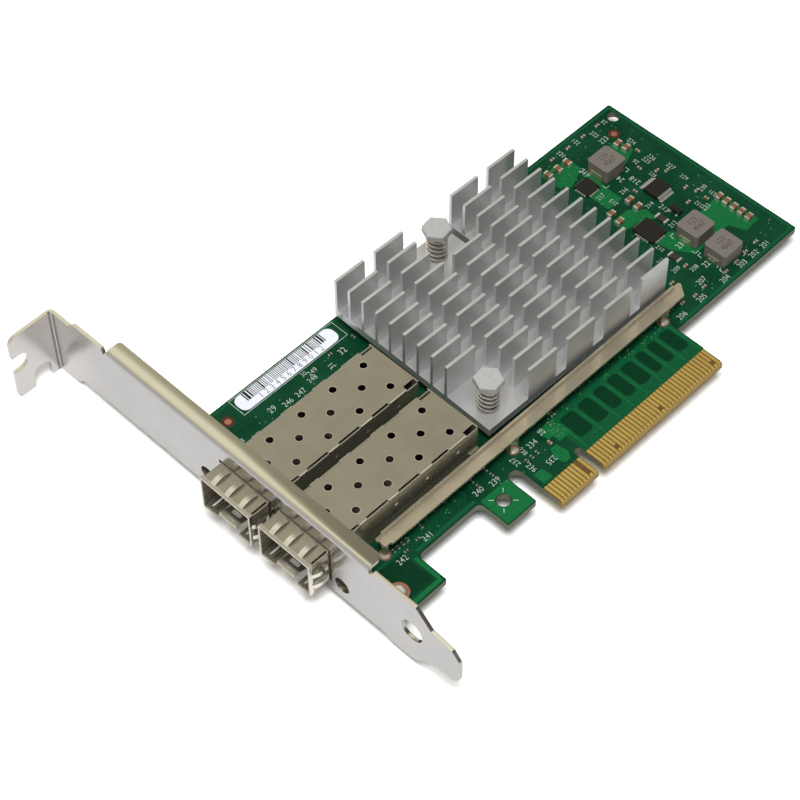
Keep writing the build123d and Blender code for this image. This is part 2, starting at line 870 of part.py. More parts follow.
tiny_places = [
    (53.9, 17.6, "x"), (12.4, 15.8, "y"), (5.2, 12.6, "y"), (3.6, 12.6, "y"), (2.1, 12.6, "y"),
    (-5.5, 17.2, "y"), (-5.5, 15.5, "y"), (-9.6, 17.2, "y"), (-9.6, 15.5, "y"),
    (-24.9, 16.9, "y"), (-29.2, 16.7, "y"), (-30.5, 16.7, "y"), (-31.8, 16.7, "y"),
    (-33.0, 16.7, "y"), (-27.6, 15.3, "x"), (-31.3, 14.9, "x"), (0.6, 62.1, "y"), (-6.4, 62.1, "x"),
]

# Length, width, height and length of each end
capacitor_size = (2.0, 1.25, 1.2, 0.4)
resistor_size = (3.1, 1.6, 0.6, 0.5)
small_size = (1.1, 0.6, 0.5, 0.25)
tiny_size = (0.9, 0.5, 0.35, 0.2)

small_chip_place = (68.4, 54.8)
small_chip_size = (4.0, 4.0, 0.9)
small_chip_pad_counts = (5, 5)
large_chip_place = (68.1, 35.9)
large_chip_size = (4.9, 5.9, 0.9)
large_chip_pad_counts = (5, 6)


# Label

def make_label():
    top = board_top_y - label_top_gap
    start = label_end_x - label_long
    return block(start, label_end_x, top - label_wide, top, 0, label_thick)


os.makedirs("parts", exist_ok=True)

save("circuit_board", make_board())
top_contacts = make_contacts(0, contact_thick, contacts_missing, contacts_short)
save("edge_contacts_top", *top_contacts)
under = -board_thick
save("edge_contacts_under", *make_contacts(under - contact_thick, under, set(), {1}))
save("bracket", make_bracket())
for number, place in enumerate(cage_places, 1):
    save("cage_cover_%d" % number, make_cover(place))
    save("cage_floor_%d" % number, make_floor(place))
    save("cage_springs_%d" % number, make_springs(place))
    save("cage_connector_%d" % number, make_connector(place))
save("heatsink", make_heatsink())
save("controller_chip", make_chip())
save("thermal_pad", make_thermal_pad())
save("push_pins", *[make_pin(x, y) for x, y in pin_places])
save("push_pin_springs", *[make_coil(x, y) for x, y in pin_places])
save("stiffener_bar", make_bar())
save("bracket_screws", *make_screws())
save("plated_rings", *make_rings())
save("fiducials", *make_fiducials())
inductor_bodies, inductor_ends = make_inductors()
save("inductors", *inductor_bodies)
save("inductor_ends", *inductor_ends)
save("small_converter_chip", make_flat_chip(small_chip_place, small_chip_size))
pads = make_flat_chip_pads(small_chip_place, small_chip_size, small_chip_pad_counts)
save("small_converter_pads", *pads)
save("large_converter_chip", make_flat_chip(large_chip_place, large_chip_size))
pads = make_flat_chip_pads(large_chip_place, large_chip_size, large_chip_pad_counts)
save("large_converter_pads", *pads)
gullwing_body, gullwing_leads = make_gullwing()
save("gullwing_chip", gullwing_body)
save("gullwing_leads", *gullwing_leads)
transistor_body, transistor_leads = make_transistor()
save("transistor", transistor_body)
save("transistor_leads", *transistor_leads)
bodies, ends = make_two_ended(capacitor_places, capacitor_size)
save("capacitors", *bodies)
save("capacitor_ends", *ends)
bodies, ends = make_two_ended(resistor_places, resistor_size)
save("resistors", *bodies)
save("resistor_ends", *ends)
bodies, ends = make_two_ended(small_places, small_size)
save("small_passives", *bodies)
save("small_passive_ends", *ends)
bodies, ends = make_two_ended(tiny_places, tiny_size)
save("tiny_passives", *bodies)
save("tiny_passive_ends", *ends)
save("label", make_label())
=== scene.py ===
# %% [markdown]
# # Dressing a network interface card
# The shapes come packed from CAD as a fixed frame, in metres. This notebook gives every one of
# them its finish, and adds what is too fine for CAD: the copper and the white print on the
# board, round-wire springs, solder, and the light.

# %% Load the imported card
import bpy
import math
import random
from mathutils import Matrix, Vector


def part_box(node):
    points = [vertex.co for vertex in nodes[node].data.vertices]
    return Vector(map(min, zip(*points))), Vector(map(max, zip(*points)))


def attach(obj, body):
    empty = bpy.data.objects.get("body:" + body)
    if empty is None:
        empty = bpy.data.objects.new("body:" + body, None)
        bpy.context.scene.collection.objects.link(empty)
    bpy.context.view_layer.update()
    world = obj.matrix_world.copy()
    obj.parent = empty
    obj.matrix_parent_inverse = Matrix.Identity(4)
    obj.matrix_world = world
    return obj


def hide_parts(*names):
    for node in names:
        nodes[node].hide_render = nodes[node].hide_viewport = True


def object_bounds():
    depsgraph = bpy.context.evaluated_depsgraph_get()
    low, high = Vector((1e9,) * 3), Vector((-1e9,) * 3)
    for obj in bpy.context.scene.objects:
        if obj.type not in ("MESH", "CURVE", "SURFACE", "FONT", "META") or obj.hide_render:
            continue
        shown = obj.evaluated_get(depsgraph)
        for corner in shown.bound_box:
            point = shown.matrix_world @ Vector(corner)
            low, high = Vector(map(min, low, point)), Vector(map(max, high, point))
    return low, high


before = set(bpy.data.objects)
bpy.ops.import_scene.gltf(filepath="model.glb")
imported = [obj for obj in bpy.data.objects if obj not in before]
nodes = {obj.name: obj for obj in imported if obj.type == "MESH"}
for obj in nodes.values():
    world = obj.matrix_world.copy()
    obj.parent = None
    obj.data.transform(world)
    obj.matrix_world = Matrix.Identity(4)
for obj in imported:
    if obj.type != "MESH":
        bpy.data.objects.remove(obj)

mm = 0.001
cad_low, cad_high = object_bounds()
print("nodes", len(nodes), "box in mm", [round((b - a) / mm, 1) for a, b in zip(cad_low, cad_high)])

# %% [markdown]
# ## Small helpers for materials
# A material is a tree of nodes. Three things come back in nearly all of them, so they are
# functions: a noise read on Object coordinates (the frame's metres, so a scale of 1000 is a
# pattern about a millimetre across), a mix of two colours, and a mask that finds the edges.
# Coordinates or a normal are split into X, Y and Z where a finish depends on the place or on the
# way a face looks.
# The edge mask compares the true normal with one rounded by the Bevel node.
# Where they differ there is an edge, and a real edge is always a little rounded and catches light.

# %% Material helpers
def new_material(name, color, metallic=0.0, roughness=0.5):
    material = bpy.data.materials.new(name)
    material.use_nodes = True
    shader = material.node_tree.nodes["Principled BSDF"]
    shader.inputs["Base Color"].default_value = (*color, 1)
    shader.inputs["Metallic"].default_value = metallic
    shader.inputs["Roughness"].default_value = roughness
    material.diffuse_color = (*color, 1)
    return material, material.node_tree, shader


def object_vector(tree, stretch=(1, 1, 1)):
    place = tree.nodes.new("ShaderNodeTexCoord")
    mapping = tree.nodes.new("ShaderNodeMapping")
    mapping.inputs["Scale"].default_value = stretch
    tree.links.new(place.outputs["Object"], mapping.inputs["Vector"])
    return mapping.outputs["Vector"]


def split(tree, vector):
    parts = tree.nodes.new("ShaderNodeSeparateXYZ")
    tree.links.new(vector, parts.inputs[0])
    return parts.outputs


def noise(tree, scale, detail=3.0, rough=0.55, stretch=(1, 1, 1)):
    node = tree.nodes.new("ShaderNodeTexNoise")
    node.inputs["Scale"].default_value = scale
    node.inputs["Detail"].default_value = detail
    node.inputs["Roughness"].default_value = rough
    tree.links.new(object_vector(tree, stretch), node.inputs["Vector"])
    return node.outputs["Fac"]


def spread(tree, value, low, high, to_low, to_high):
    node = tree.nodes.new("ShaderNodeMapRange")
    for name, number in (("From Min", low), ("From Max", high), ("To Min", to_low), ("To Max", to_high)):
        node.inputs[name].default_value = number
    tree.links.new(value, node.inputs["Value"])
    return node.outputs["Result"]


def mixed(tree, share, first, second):
    node = tree.nodes.new("ShaderNodeMix")
    node.data_type = "RGBA"
    for socket, value in ((0, share), (6, first), (7, second)):
        if isinstance(value, tuple):
            node.inputs[socket].default_value = (*value, 1)
        elif isinstance(value, float):
            node.inputs[socket].default_value = value
        else:
            tree.links.new(value, node.inputs[socket])
    return node.outputs[2]


def maths(tree, kind, first, second=0.0):
    node = tree.nodes.new("ShaderNodeMath")
    node.operation = kind
    for socket, value in enumerate((first, second)):
        if isinstance(value, (int, float)):
            node.inputs[socket].default_value = value
        else:
            tree.links.new(value, node.inputs[socket])
    return node.outputs[0]


def rounded_normal(tree, radius):
    bevel = tree.nodes.new("ShaderNodeBevel")
    bevel.samples = 4
    bevel.inputs["Radius"].default_value = radius
    return bevel.outputs["Normal"]


def edge_mask(tree, radius):
    geometry = tree.nodes.new("ShaderNodeNewGeometry")
    dot = tree.nodes.new("ShaderNodeVectorMath")
    dot.operation = "DOT_PRODUCT"
    tree.links.new(rounded_normal(tree, radius), dot.inputs[0])
    tree.links.new(geometry.outputs["Normal"], dot.inputs[1])
    return spread(tree, dot.outputs["Value"], 0.99, 0.80, 0.0, 1.0)


def bumped(tree, shader, height, strength, distance, radius):
    bump = tree.nodes.new("ShaderNodeBump")
    bump.inputs["Strength"].default_value = strength
    bump.inputs["Distance"].default_value = distance
    tree.links.new(height, bump.inputs["Height"])
    tree.links.new(rounded_normal(tree, radius), bump.inputs["Normal"])
    tree.links.new(bump.outputs["Normal"], shader.inputs["Normal"])


def overlay(material, share, tone):
    # Lays a second colour over the one the material has, where share is 1.
    tree = material.node_tree
    color = tree.nodes["Principled BSDF"].inputs["Base Color"]
    tree.links.new(mixed(tree, share, color.links[0].from_socket, tone), color)


# %% [markdown]
# ## Metals
# Sheet metal is rolled and plated: a base colour that drifts a little from place to place, fine
# streaks along the rolling direction that only change the roughness, and bright edges, mostly a
# painted highlight where a rounded edge catches light, partly wear.
# A finish without bump takes the rounded normal straight, because a Bump node would turn the
# noise that is finer than a pixel into dark specks.
# A haze, taken off the Metallic value, stands for the dull oxide that scatters a little light.
# One function makes them all, because only the numbers differ.

# %% Metal finishes
def metal(name, color, roughness, drift=0.12, streak=(1, 1, 1), streak_scale=900,
          edge_color=None, edge=0.12 * mm, bump=0.15, haze=0.0):
    material, tree, shader = new_material(name, color, 1.0 - haze, roughness)
    dark = tuple(c * (1 - drift) for c in color)
    light = tuple(min(1.0, c * (1 + drift)) for c in color)
    base = mixed(tree, spread(tree, noise(tree, 160, 4), 0.35, 0.65, 0, 1), dark, light)
    # Lighter edges: mostly a painted highlight where a rounded edge catches light, partly wear.
    if edge_color:
        base = mixed(tree, edge_mask(tree, edge), base, edge_color)
    tree.links.new(base, shader.inputs["Base Color"])
    if streak_scale:
        streaks = noise(tree, streak_scale, 1, 0.5, streak)
        tree.links.new(spread(tree, streaks, 0.3, 0.7, roughness * 0.92, roughness * 1.08),
                       shader.inputs["Roughness"])
    if bump:
        bumped(tree, shader, noise(tree, 2600, 2, 0.5, streak), bump, 0.01 * mm, edge)
    elif edge:
        tree.links.new(rounded_normal(tree, edge), shader.inputs["Normal"])
    return material


bracket_finish = metal("satin_bracket_plate", (0.465, 0.456, 0.46), 0.22, 0.03, (1, 1, 8), 300,
                       edge_color=(0.68, 0.63, 0.48), edge=0.18 * mm, bump=0.0)
cage_finish = metal("nickel_silver_cage", (0.40, 0.365, 0.28), 0.20, 0.05, (2, 1, 1), 100,
                    edge_color=(0.92, 0.90, 0.82), edge=0.16 * mm, bump=0.0, haze=0.28)
# A lighter metal for the vent rims, fold strips and latch tips: a painted highlight.
highlight_metal_finish = metal("painted_highlight_metal", (0.66, 0.63, 0.55), 0.30, 0.05, bump=0.0, haze=0.45)
spring_finish = metal("bright_spring_steel", (0.72, 0.68, 0.62), 0.14, 0.05, (3, 1, 1), 900,
                      edge_color=(0.95, 0.93, 0.88), edge=0.07 * mm, bump=0.02)
sink_finish = metal("extruded_aluminium", (0.69, 0.695, 0.705), 0.30, 0.05, streak_scale=0,
                    edge=None, bump=0.0, haze=0.32)
bar_finish = metal("plated_stiffener", (0.63, 0.56, 0.42), 0.24, 0.08, (5, 1, 1), 120,
                   edge_color=(0.90, 0.84, 0.68), edge=0.14 * mm, bump=0.0, haze=0.2)
gold_finish = metal("contact_gold", (0.84, 0.60, 0.17), 0.28, 0.06, streak_scale=0,
                    edge=None, bump=0.0, haze=0.15)
solder_finish = metal("bright_solder", (0.74, 0.71, 0.65), 0.24, 0.15, (1, 1, 1), 1800,
                      edge_color=(0.92, 0.90, 0.85), edge=0.08 * mm, bump=0.15, haze=0.35)
copper_finish = metal("bare_copper", (0.52, 0.22, 0.15), 0.35, 0.12, (1, 1, 1), 1500,
                      edge_color=(0.85, 0.50, 0.34), edge=0.05 * mm, bump=0.1, haze=0.2)
print("metals", len(bpy.data.materials))

# %% [markdown]
# The bracket is one folded sheet, and its three parts take the light in different ways. The lip
# and the face below it stand at a right angle and light each other up, so the plating looks paler
# there. A second colour that grows along Y shows it.

# %% The bracket's lip
def brighten_end(material, low_y, high_y, tone):
    tree = material.node_tree
    place = split(tree, object_vector(tree))
    overlay(material, spread(tree, place["Y"], low_y, high_y, 0.0, 1.0), tone)


brighten_end(bracket_finish, 90 * mm, 102 * mm, (0.60, 0.575, 0.56))

# %% [markdown]
# The folded flange along the bracket isn't quite flat: it rises a little behind the bend and falls
# away to its free edge, more so towards the contacts. A small tilt of the shading normal, grown
# from the place across and along the flange, shows that without touching the shape. Its upward
# face also takes a cream tone, a painted reflection of the warm light above it.

# %% The flange's slight curl
front_lean, rear_lean, end_lean, long_lean = -0.20, 0.06, 0.22, -0.09
fall_high, fall_low, fall_shift = 50 * mm, 12 * mm, 1.7 * mm
# cream laid on the flange's upward face: a painted reflection
flange_painted_reflection = (0.69, 0.66, 0.53)


def curl_flange(material, near_x, far_x, high_y, low_y):
    tree = material.node_tree
    normal = tree.nodes["Principled BSDF"].inputs["Normal"]
    straight = normal.links[0].from_socket
    place = split(tree, object_vector(tree))
    shift = spread(tree, place["Y"], fall_high, fall_low, 0.0, fall_shift)
    run = maths(tree, "ADD", place["X"], shift)
    across = spread(tree, run, near_x, far_x, front_lean, rear_lean)
    along = spread(tree, place["Y"], high_y, low_y, 0.0, end_lean)
    beyond = spread(tree, run, near_x, far_x, 0.0, 1.0)
    tilt = maths(tree, "ADD", across, maths(tree, "MULTIPLY", along, beyond))
    front = spread(tree, run, near_x, far_x, 1.0, 0.0)
    back = maths(tree, "MULTIPLY", front, spread(tree, place["Y"], low_y, high_y, 0.0, long_lean))
    upward = maths(tree, "GREATER_THAN", split(tree, straight)["Z"], 0.9)
    lean = tree.nodes.new("ShaderNodeCombineXYZ")
    tree.links.new(maths(tree, "MULTIPLY", tilt, upward), lean.inputs["X"])
    tree.links.new(maths(tree, "MULTIPLY", back, upward), lean.inputs["Y"])
    leaning, unit = [tree.nodes.new("ShaderNodeVectorMath") for _ in range(2)]
    leaning.operation, unit.operation = "ADD", "NORMALIZE"
    tree.links.new(straight, leaning.inputs[0])
    tree.links.new(lean.outputs[0], leaning.inputs[1])
    tree.links.new(leaning.outputs["Vector"], unit.inputs[0])
    tree.links.new(unit.outputs["Vector"], normal)
    # the cream tone on upward faces is a painted reflection
    overlay(material, upward, flange_painted_reflection)


curl_flange(bracket_finish, -44.5 * mm, -43.0 * mm, 80 * mm, 12 * mm)
print("nodes in the bracket's finish", len(bracket_finish.node_tree.nodes))

# %% [markdown]
# The inside of the lip's fold is sharp and plain, so a narrow strip there gets neither the round
# normal nor the bright edge, and a dark tone, which is painted shade in the crease.

# %% The fold of the lip
def sharpen_fold(material, fold_x, fold_y, reach):
    tree = material.node_tree
    place = split(tree, object_vector(tree))
    near = []
    for axis, fold in (("X", fold_x), ("Y", fold_y)):
        aside = maths(tree, "ABSOLUTE", maths(tree, "SUBTRACT", place[axis], fold))
        near.append(maths(tree, "LESS_THAN", aside, reach))
    inside = maths(tree, "MULTIPLY", *near)
    # dark tone in the strip: painted shade in the fold's crease
    overlay(material, inside, (0.25, 0.24, 0.24))
    geometry = tree.nodes.new("ShaderNodeNewGeometry")
    normal = tree.nodes["Principled BSDF"].inputs["Normal"]
    rounded_one = normal.links[0].from_socket
    tree.links.new(mixed(tree, inside, rounded_one, geometry.outputs["Normal"]), normal)


sharpen_fold(bracket_finish, -46.83 * mm, 105.06 * mm, 0.3 * mm)

# %% [markdown]
# ## The board's own finish
# The board is glass-filled resin under a thin green lacquer. The lacquer shows only on the two
# faces: the milled edges and the bevel under the contacts are bare, pale and slightly fibrous.
# The shader therefore asks which way the surface faces and how low on the tongue it lies.

# %% Board finish
lacquer_dark = (0.0022, 0.034, 0.014)
lacquer_light = (0.0055, 0.056, 0.024)
lacquer_weave = (0.007, 0.072, 0.031)
resin = (0.20, 0.203, 0.152)
bevel_tan, bevel_ground, bevel_gold = (0.30, 0.205, 0.08), (0.10, 0.055, 0.020), (0.44, 0.30, 0.075)
bevel_top, plated_low = 1.4 * mm, 0.62 * mm
lacquer_gloss = 0.08


def board_material():
    material, tree, shader = new_material("green_lacquer", lacquer_dark, 0.0, 0.28)
    patches = spread(tree, noise(tree, 95, 4, 0.6), 0.38, 0.62, 0, 1)
    lacquer = mixed(tree, patches, lacquer_dark, lacquer_light)
    weave_x = noise(tree, 2600, 1, 0.4, (1, 0.12, 1))
    weave_y = noise(tree, 2600, 1, 0.4, (0.12, 1, 1))
    weave = maths(tree, "MULTIPLY", weave_x, weave_y)
    lacquer = mixed(tree, spread(tree, weave, 0.15, 0.40, 0, 0.35), lacquer, lacquer_weave)
    geometry = tree.nodes.new("ShaderNodeNewGeometry")
    facing = split(tree, geometry.outputs["Normal"])
    bare = maths(tree, "LESS_THAN", maths(tree, "ABSOLUTE", facing["Z"]), 0.985)
    fibres = noise(tree, 5200, 2, 0.6, (1, 1, 5))
    edge = mixed(tree, fibres, tuple(c * 0.75 for c in resin), tuple(c * 1.25 for c in resin))
    place = split(tree, object_vector(tree))
    tongue = maths(tree, "LESS_THAN", place["Y"], bevel_top)
    edge = mixed(tree, tongue, edge, bevel_tan)
    # the plated ends run a little way down the bevel, one per millimetre
    count = maths(tree, "MULTIPLY", maths(tree, "ADD", place["X"], 10.5 * mm), 1 / mm)
    middle = maths(tree, "SUBTRACT", maths(tree, "FRACT", count), 0.5)
    plated = maths(tree, "LESS_THAN", maths(tree, "ABSOLUTE", middle), 0.36)
    ends = mixed(tree, plated, bevel_ground, bevel_gold)
    sloping = maths(tree, "GREATER_THAN", facing["Z"], 0.5)
    band = maths(tree, "MULTIPLY", maths(tree, "GREATER_THAN", place["Y"], plated_low), tongue)
    edge = mixed(tree, maths(tree, "MULTIPLY", band, sloping), edge, ends)
    tree.links.new(mixed(tree, bare, lacquer, edge), shader.inputs["Base Color"])
    tree.links.new(spread(tree, bare, 0, 1, 0.26, 0.75), shader.inputs["Roughness"])
    shader.inputs["Specular IOR Level"].default_value = lacquer_gloss
    bumped(tree, shader, noise(tree, 2200, 2, 0.5), 0.12, 0.01 * mm, 0.06 * mm)
    return material


board_finish = board_material()
print("nodes in the board's finish", len(board_finish.node_tree.nodes))

# %% [markdown]
# ## Moulded and fired parts
# Chip bodies, capacitors, inductors and the two push pins are not metal. They get a colour with a
# fine speckle, a matching bump, and soft edges from the Bevel node. Chips, capacitors and inductors
# also get lighter edges, a painted highlight. The push pins are milky nylon, so light travels a
# little way through them.

# %% Moulded and fired finishes
def moulded(name, color, roughness, speckle=0.25, scale=3500, edge=0.12 * mm, bump=0.3,
            edge_color=None, through=0.0, specular=0.35):
    material, tree, shader = new_material(name, color, 0.0, roughness)
    shader.inputs["Specular IOR Level"].default_value = specular
    dark = tuple(c * (1 - speckle) for c in color)
    light = tuple(min(1.0, c * (1 + speckle)) for c in color)
    base = mixed(tree, spread(tree, noise(tree, scale, 3), 0.3, 0.7, 0, 1), dark, light)
    # A lighter colour on the edges is a painted highlight.
    if edge_color:
        base = mixed(tree, edge_mask(tree, edge), base, edge_color)
    tree.links.new(base, shader.inputs["Base Color"])
    patches = noise(tree, scale * 0.5, 2)
    tree.links.new(spread(tree, patches, 0.3, 0.7, roughness * 0.85, roughness * 1.15),
                   shader.inputs["Roughness"])
    if through:
        shader.inputs["Subsurface Weight"].default_value = through
        shader.inputs["Subsurface Scale"].default_value = 1.0 * mm
    bumped(tree, shader, noise(tree, scale, 2), bump, 0.02 * mm, edge)
    return material


chip_finish = moulded("moulded_chip_black", (0.014, 0.0125, 0.011), 0.50, 0.30, 4200,
                      edge_color=(0.05, 0.048, 0.043), specular=0.25)
ceramic_finish = moulded("capacitor_ceramic", (0.20, 0.100, 0.050), 0.38, 0.22, 2400,
                         edge_color=(0.34, 0.20, 0.12))
resistor_finish = moulded("resistor_glaze", (0.035, 0.030, 0.028), 0.30, 0.3, 2600)
inductor_finish = moulded("pressed_iron_powder", (0.175, 0.158, 0.137), 0.60, 0.20, 6500,
                          edge=0.25 * mm, bump=0.5, edge_color=(0.30, 0.275, 0.24))
nylon_finish = moulded("milky_nylon", (0.44, 0.45, 0.44), 0.30, 0.03, 1200, edge=0.2 * mm,
                       bump=0.05, through=0.3)
paper_finish = moulded("label_paper", (0.82, 0.85, 0.93), 0.45, 0.03, 1800, bump=0.05)
pad_finish = moulded("thermal_pad_grey", (0.20, 0.21, 0.22), 0.8, 0.15, 2500)

finish_of = {
    "circuit_board": board_finish, "bracket": bracket_finish, "heatsink": sink_finish,
    "cage_cover_1": cage_finish, "cage_cover_2": cage_finish, "cage_floor_1": cage_finish,
    "cage_floor_2": cage_finish, "cage_springs_1": spring_finish, "cage_springs_2": spring_finish,
    "cage_connector_1": chip_finish, "cage_connector_2": chip_finish,
    "controller_chip": chip_finish, "thermal_pad": pad_finish, "push_pins": nylon_finish,
    "push_pin_springs": spring_finish, "stiffener_bar": bar_finish,
    "bracket_screws": solder_finish, "plated_rings": copper_finish, "fiducials": copper_finish,
    "inductors": inductor_finish, "inductor_ends": bar_finish,
    "small_converter_chip": chip_finish, "small_converter_pads": solder_finish,
    "large_converter_chip": chip_finish, "large_converter_pads": solder_finish,
    "gullwing_chip": chip_finish, "gullwing_leads": solder_finish, "transistor": chip_finish,
    "transistor_leads": solder_finish, "capacitors": ceramic_finish,
    "capacitor_ends": solder_finish, "resistors": resistor_finish, "resistor_ends": solder_finish,
    "small_passives": ceramic_finish, "small_passive_ends": solder_finish,
    "tiny_passives": resistor_finish, "tiny_passive_ends": solder_finish,
    "edge_contacts_top": gold_finish, "edge_contacts_under": gold_finish, "label": paper_finish,
}
for name, node in nodes.items():
    node.data.materials.clear()
    node.data.materials.append(finish_of[name])
print("finished nodes", len(finish_of), "of", len(nodes))

# %% [markdown]
# ## Print and copper on the board
# What lies on the board is only hundredths of a millimetre thick: copper areas and tracks that
# show pale through the lacquer, and white print. Thin prisms for the areas and Geometry Nodes for
# the tracks keep them real shapes, so that they can be counted and moved, and not a picture.
# Each height is a little above the last, so that no two faces share a plane.

# %% Finishes for print and copper
def thin_layer(name, color, roughness, speckle, scale=3000, bump=0.05, specular=0.35):
    return moulded(name, color, roughness, speckle, scale, 0.01 * mm, bump, specular=specular)


def lacquered(name, color, speckle=0.12):
    return thin_layer(name, color, 0.26, speckle, 1500, specular=lacquer_gloss)


copper_under = lacquered("lacquer_over_copper", (0.009, 0.135, 0.040), 0.10)
copper_faint = lacquered("lacquer_over_thin_copper", (0.0065, 0.086, 0.032))
lacquer_window = lacquered("lacquer_over_resin", (0.0022, 0.034, 0.013), 0.15)
ink_finish = thin_layer("white_board_ink", (0.54, 0.61, 0.56), 0.55, 0.10)
black_ink = thin_layer("black_label_ink", (0.012, 0.012, 0.016), 0.5, 0.2, bump=0.02)
bare_resin = thin_layer("bare_contact_ground", (0.13, 0.068, 0.022), 0.55, 0.3, bump=0.1)

sunk = -0.010 * mm
area_top = 0.012 * mm
track_top = 0.018 * mm
ink_top = 0.026 * mm
print("thickest layer", round((ink_top - sunk) / mm, 3), "mm")


def keep(name, mesh):
    piece = bpy.data.objects.new(name, mesh)
    bpy.context.scene.collection.objects.link(piece)
    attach(piece, "root")
    print(name, "faces", len(mesh.polygons))
    return piece


def mesh_piece(name, points, faces, finish):
    mesh = bpy.data.meshes.new(name)
    mesh.from_pydata(points, [], faces)
    mesh.update()
    mesh.materials.append(finish)
    return keep(name, mesh)


def prisms(name, outlines, low, high, finish):
    # Outlines are lists of (x, y) in mm, anticlockwise; low and high are metres.
    points, faces = [], []
    for corners in outlines:
        area = sum(a[0] * b[1] - b[0] * a[1] for a, b in zip(corners, corners[1:] + corners[:1]))
        loop = corners if area > 0 else corners[::-1]
        first, count = len(points), len(loop)
        points += [(x * mm, y * mm, low) for x, y in loop]
        points += [(x * mm, y * mm, high) for x, y in loop]
        faces.append([first + i for i in reversed(range(count))])
        faces.append([first + count + i for i in range(count)])
        for i in range(count):
            j = (i + 1) % count
            faces.append([first + i, first + j, first + count + j, first + count + i])
    return mesh_piece(name, points, faces, finish)


def rectangle(x0, x1, y0, y1):
    return [(x0, y0), (x1, y0), (x1, y1), (x0, y1)]


def disc(x, y, r, count=24):
    return [(x + r * math.cos(2 * math.pi * k / count), y + r * math.sin(2 * math.pi * k / count))
            for k in range(count)]


def around_hole(x0, x1, y0, y1, hole_x, hole_y, r):
    # A rectangle with a round hole, as an upper and a lower half.
    halves = []
    for way, edge in ((1, y1), (-1, y0)):
        arc = [(hole_x - r * math.cos(math.pi * k / 12), hole_y + way * r * math.sin(math.pi * k / 12))
               for k in range(13)]
        halves.append([(x0, hole_y)] + arc + [(x1, hole_y), (x1, edge), (x0, edge)])
    return halves


# %% [markdown]
# The copper areas follow the real board: around the converters and inductors at the rear, near
# the key of the tongue, and a bright border along the foot and the tab where the ground copper
# stops short of the milled edge.

# %% Copper areas
contacts_top = 5.6
rear_areas = [
    [(69.8, 43.9), (72.9, 40.9), (72.6, 37.4), (68.9, 39.6), (64.6, 40.0), (64.6, 43.9)],
    [(66.8, 33.2), (71.2, 32.9), (72.9, 31.2), (78.2, 31.2), (78.2, 24.6), (70.3, 24.2),
     (67.2, 29.6)],
    [(78.4, 31.6), (85.6, 31.9), (88.2, 31.9), (88.2, 20.9), (83.6, 20.6), (82.0, 24.5),
     (78.4, 24.5)],
    [(64.0, 65.0), (72.2, 64.2), (72.2, 59.9), (66.3, 57.5), (64.0, 59.8)],
    [(79.9, 60.0), (84.9, 60.0), (84.9, 55.2), (79.9, 53.4)],
    [(70.6, 58.4), (71.9, 58.4), (71.9, 52.6), (70.6, 52.6)],
    [(66.9, 52.4), (71.6, 52.4), (71.6, 47.0), (66.9, 47.0)],
]
key_areas = [
    [(10.8, 16.4), (13.6, 16.4), (14.4, 13.6), (14.4, 11.3), (10.8, 11.2), (10.7, 13.2),
     (9.4, 13.3), (9.4, 15.0)],
    [(7.9, 11.3), (9.7, 11.3), (10.1, 8.4), (9.2, 6.8), (7.6, 6.7), (6.7, 8.9)],
    [(0.5, 9.3), (2.9, 9.3), (3.2, 6.3), (0.5, 6.2)],
]
foot_border = [
    rectangle(-44.6, -30.9, 4.9, 5.9), rectangle(-31.6, -30.7, 5.9, 12.6),
    rectangle(-44.6, -31.6, 15.7, 16.2),
]
tab_hole = (-8.41, 9.44)
tab_copper = around_hole(-12.0, -4.1, 4.8, 12.6, *tab_hole, 1.75)
board_border = [
    rectangle(-44.6, 91.6, 67.9, 68.5), rectangle(90.9, 91.6, 13.6, 67.9),
    rectangle(52.6, 90.9, 13.5, 14.3), rectangle(-29.8, -12.8, 13.0, 13.9),
]
prisms("copper_areas", rear_areas + key_areas + foot_border[:2] + tab_copper, sunk, area_top,
       copper_under)
prisms("ground_copper", board_border + foot_border[2:], sunk, area_top * 0.8, copper_faint)

# %% [markdown]
# Above the contacts lies a thin copper field under the lacquer, with a row of dark windows that
# are bare of copper. Their edges are where the ground lines climb.

# %% Copper field and windows over the contacts

window_edges = [13.9, 19.3, 24.2, 28.7, 33.1, 37.9, 41.7, 45.6, 50.2]
tongue_area = [(12.6, 5.7), (50.9, 5.7), (50.9, 15.6), (49.6, 16.4), (13.6, 16.4), (12.6, 15.4)]
copper_middling = lacquered("lacquer_over_deep_copper", (0.0055, 0.084, 0.029))
prisms("tongue_copper", [tongue_area], sunk, area_top * 0.4, copper_middling)


def rounded(x0, x1, y0, y1, r, steps=5):
    # A rectangle with round corners, anticlockwise.
    corners = []
    centres = ((x1 - r, y1 - r), (x0 + r, y1 - r), (x0 + r, y0 + r), (x1 - r, y0 + r))
    for (cx, cy), start in zip(centres, (0, 90, 180, 270)):
        for k in range(steps + 1):
            a = math.radians(start + 90 * k / steps)
            corners.append((cx + r * math.cos(a), cy + r * math.sin(a)))
    return corners


line_room, window_low, window_high, window_round = 0.65, 8.6, 15.0, 0.9
windows = [rounded(left + line_room, right - line_room, window_low, window_high, window_round)
           for left, right in zip(window_edges[:-1], window_edges[1:])]
windows.append(rectangle(-44.6, -32.2, 6.5, 15.2))
prisms("bare_windows", windows, sunk, area_top * 0.7, lacquer_window)

# %% [markdown]
# ## Tracks by Geometry Nodes
# A track is a line with a width and a thickness, and there are hundreds. A small Geometry Nodes
# tree sweeps a flat rectangle along every edge of a mesh, so the script only has to say where each
# line runs. The tree's inputs are named, and a modifier fills them by the socket's identifier.
# Realize Instances and Set Material end the tree, and the result is turned into a plain mesh.

# %% Geometry Nodes helpers
def start_tree(name, sizes):
    tree = bpy.data.node_groups.new(name, "GeometryNodeTree")
    tree.interface.new_socket("Geometry", in_out="INPUT", socket_type="NodeSocketGeometry")
    for label, kind in sizes:
        tree.interface.new_socket(label, in_out="INPUT", socket_type=kind)
    tree.interface.new_socket("Geometry", in_out="OUTPUT", socket_type="NodeSocketGeometry")
    return tree, tree.nodes.new("NodeGroupInput")


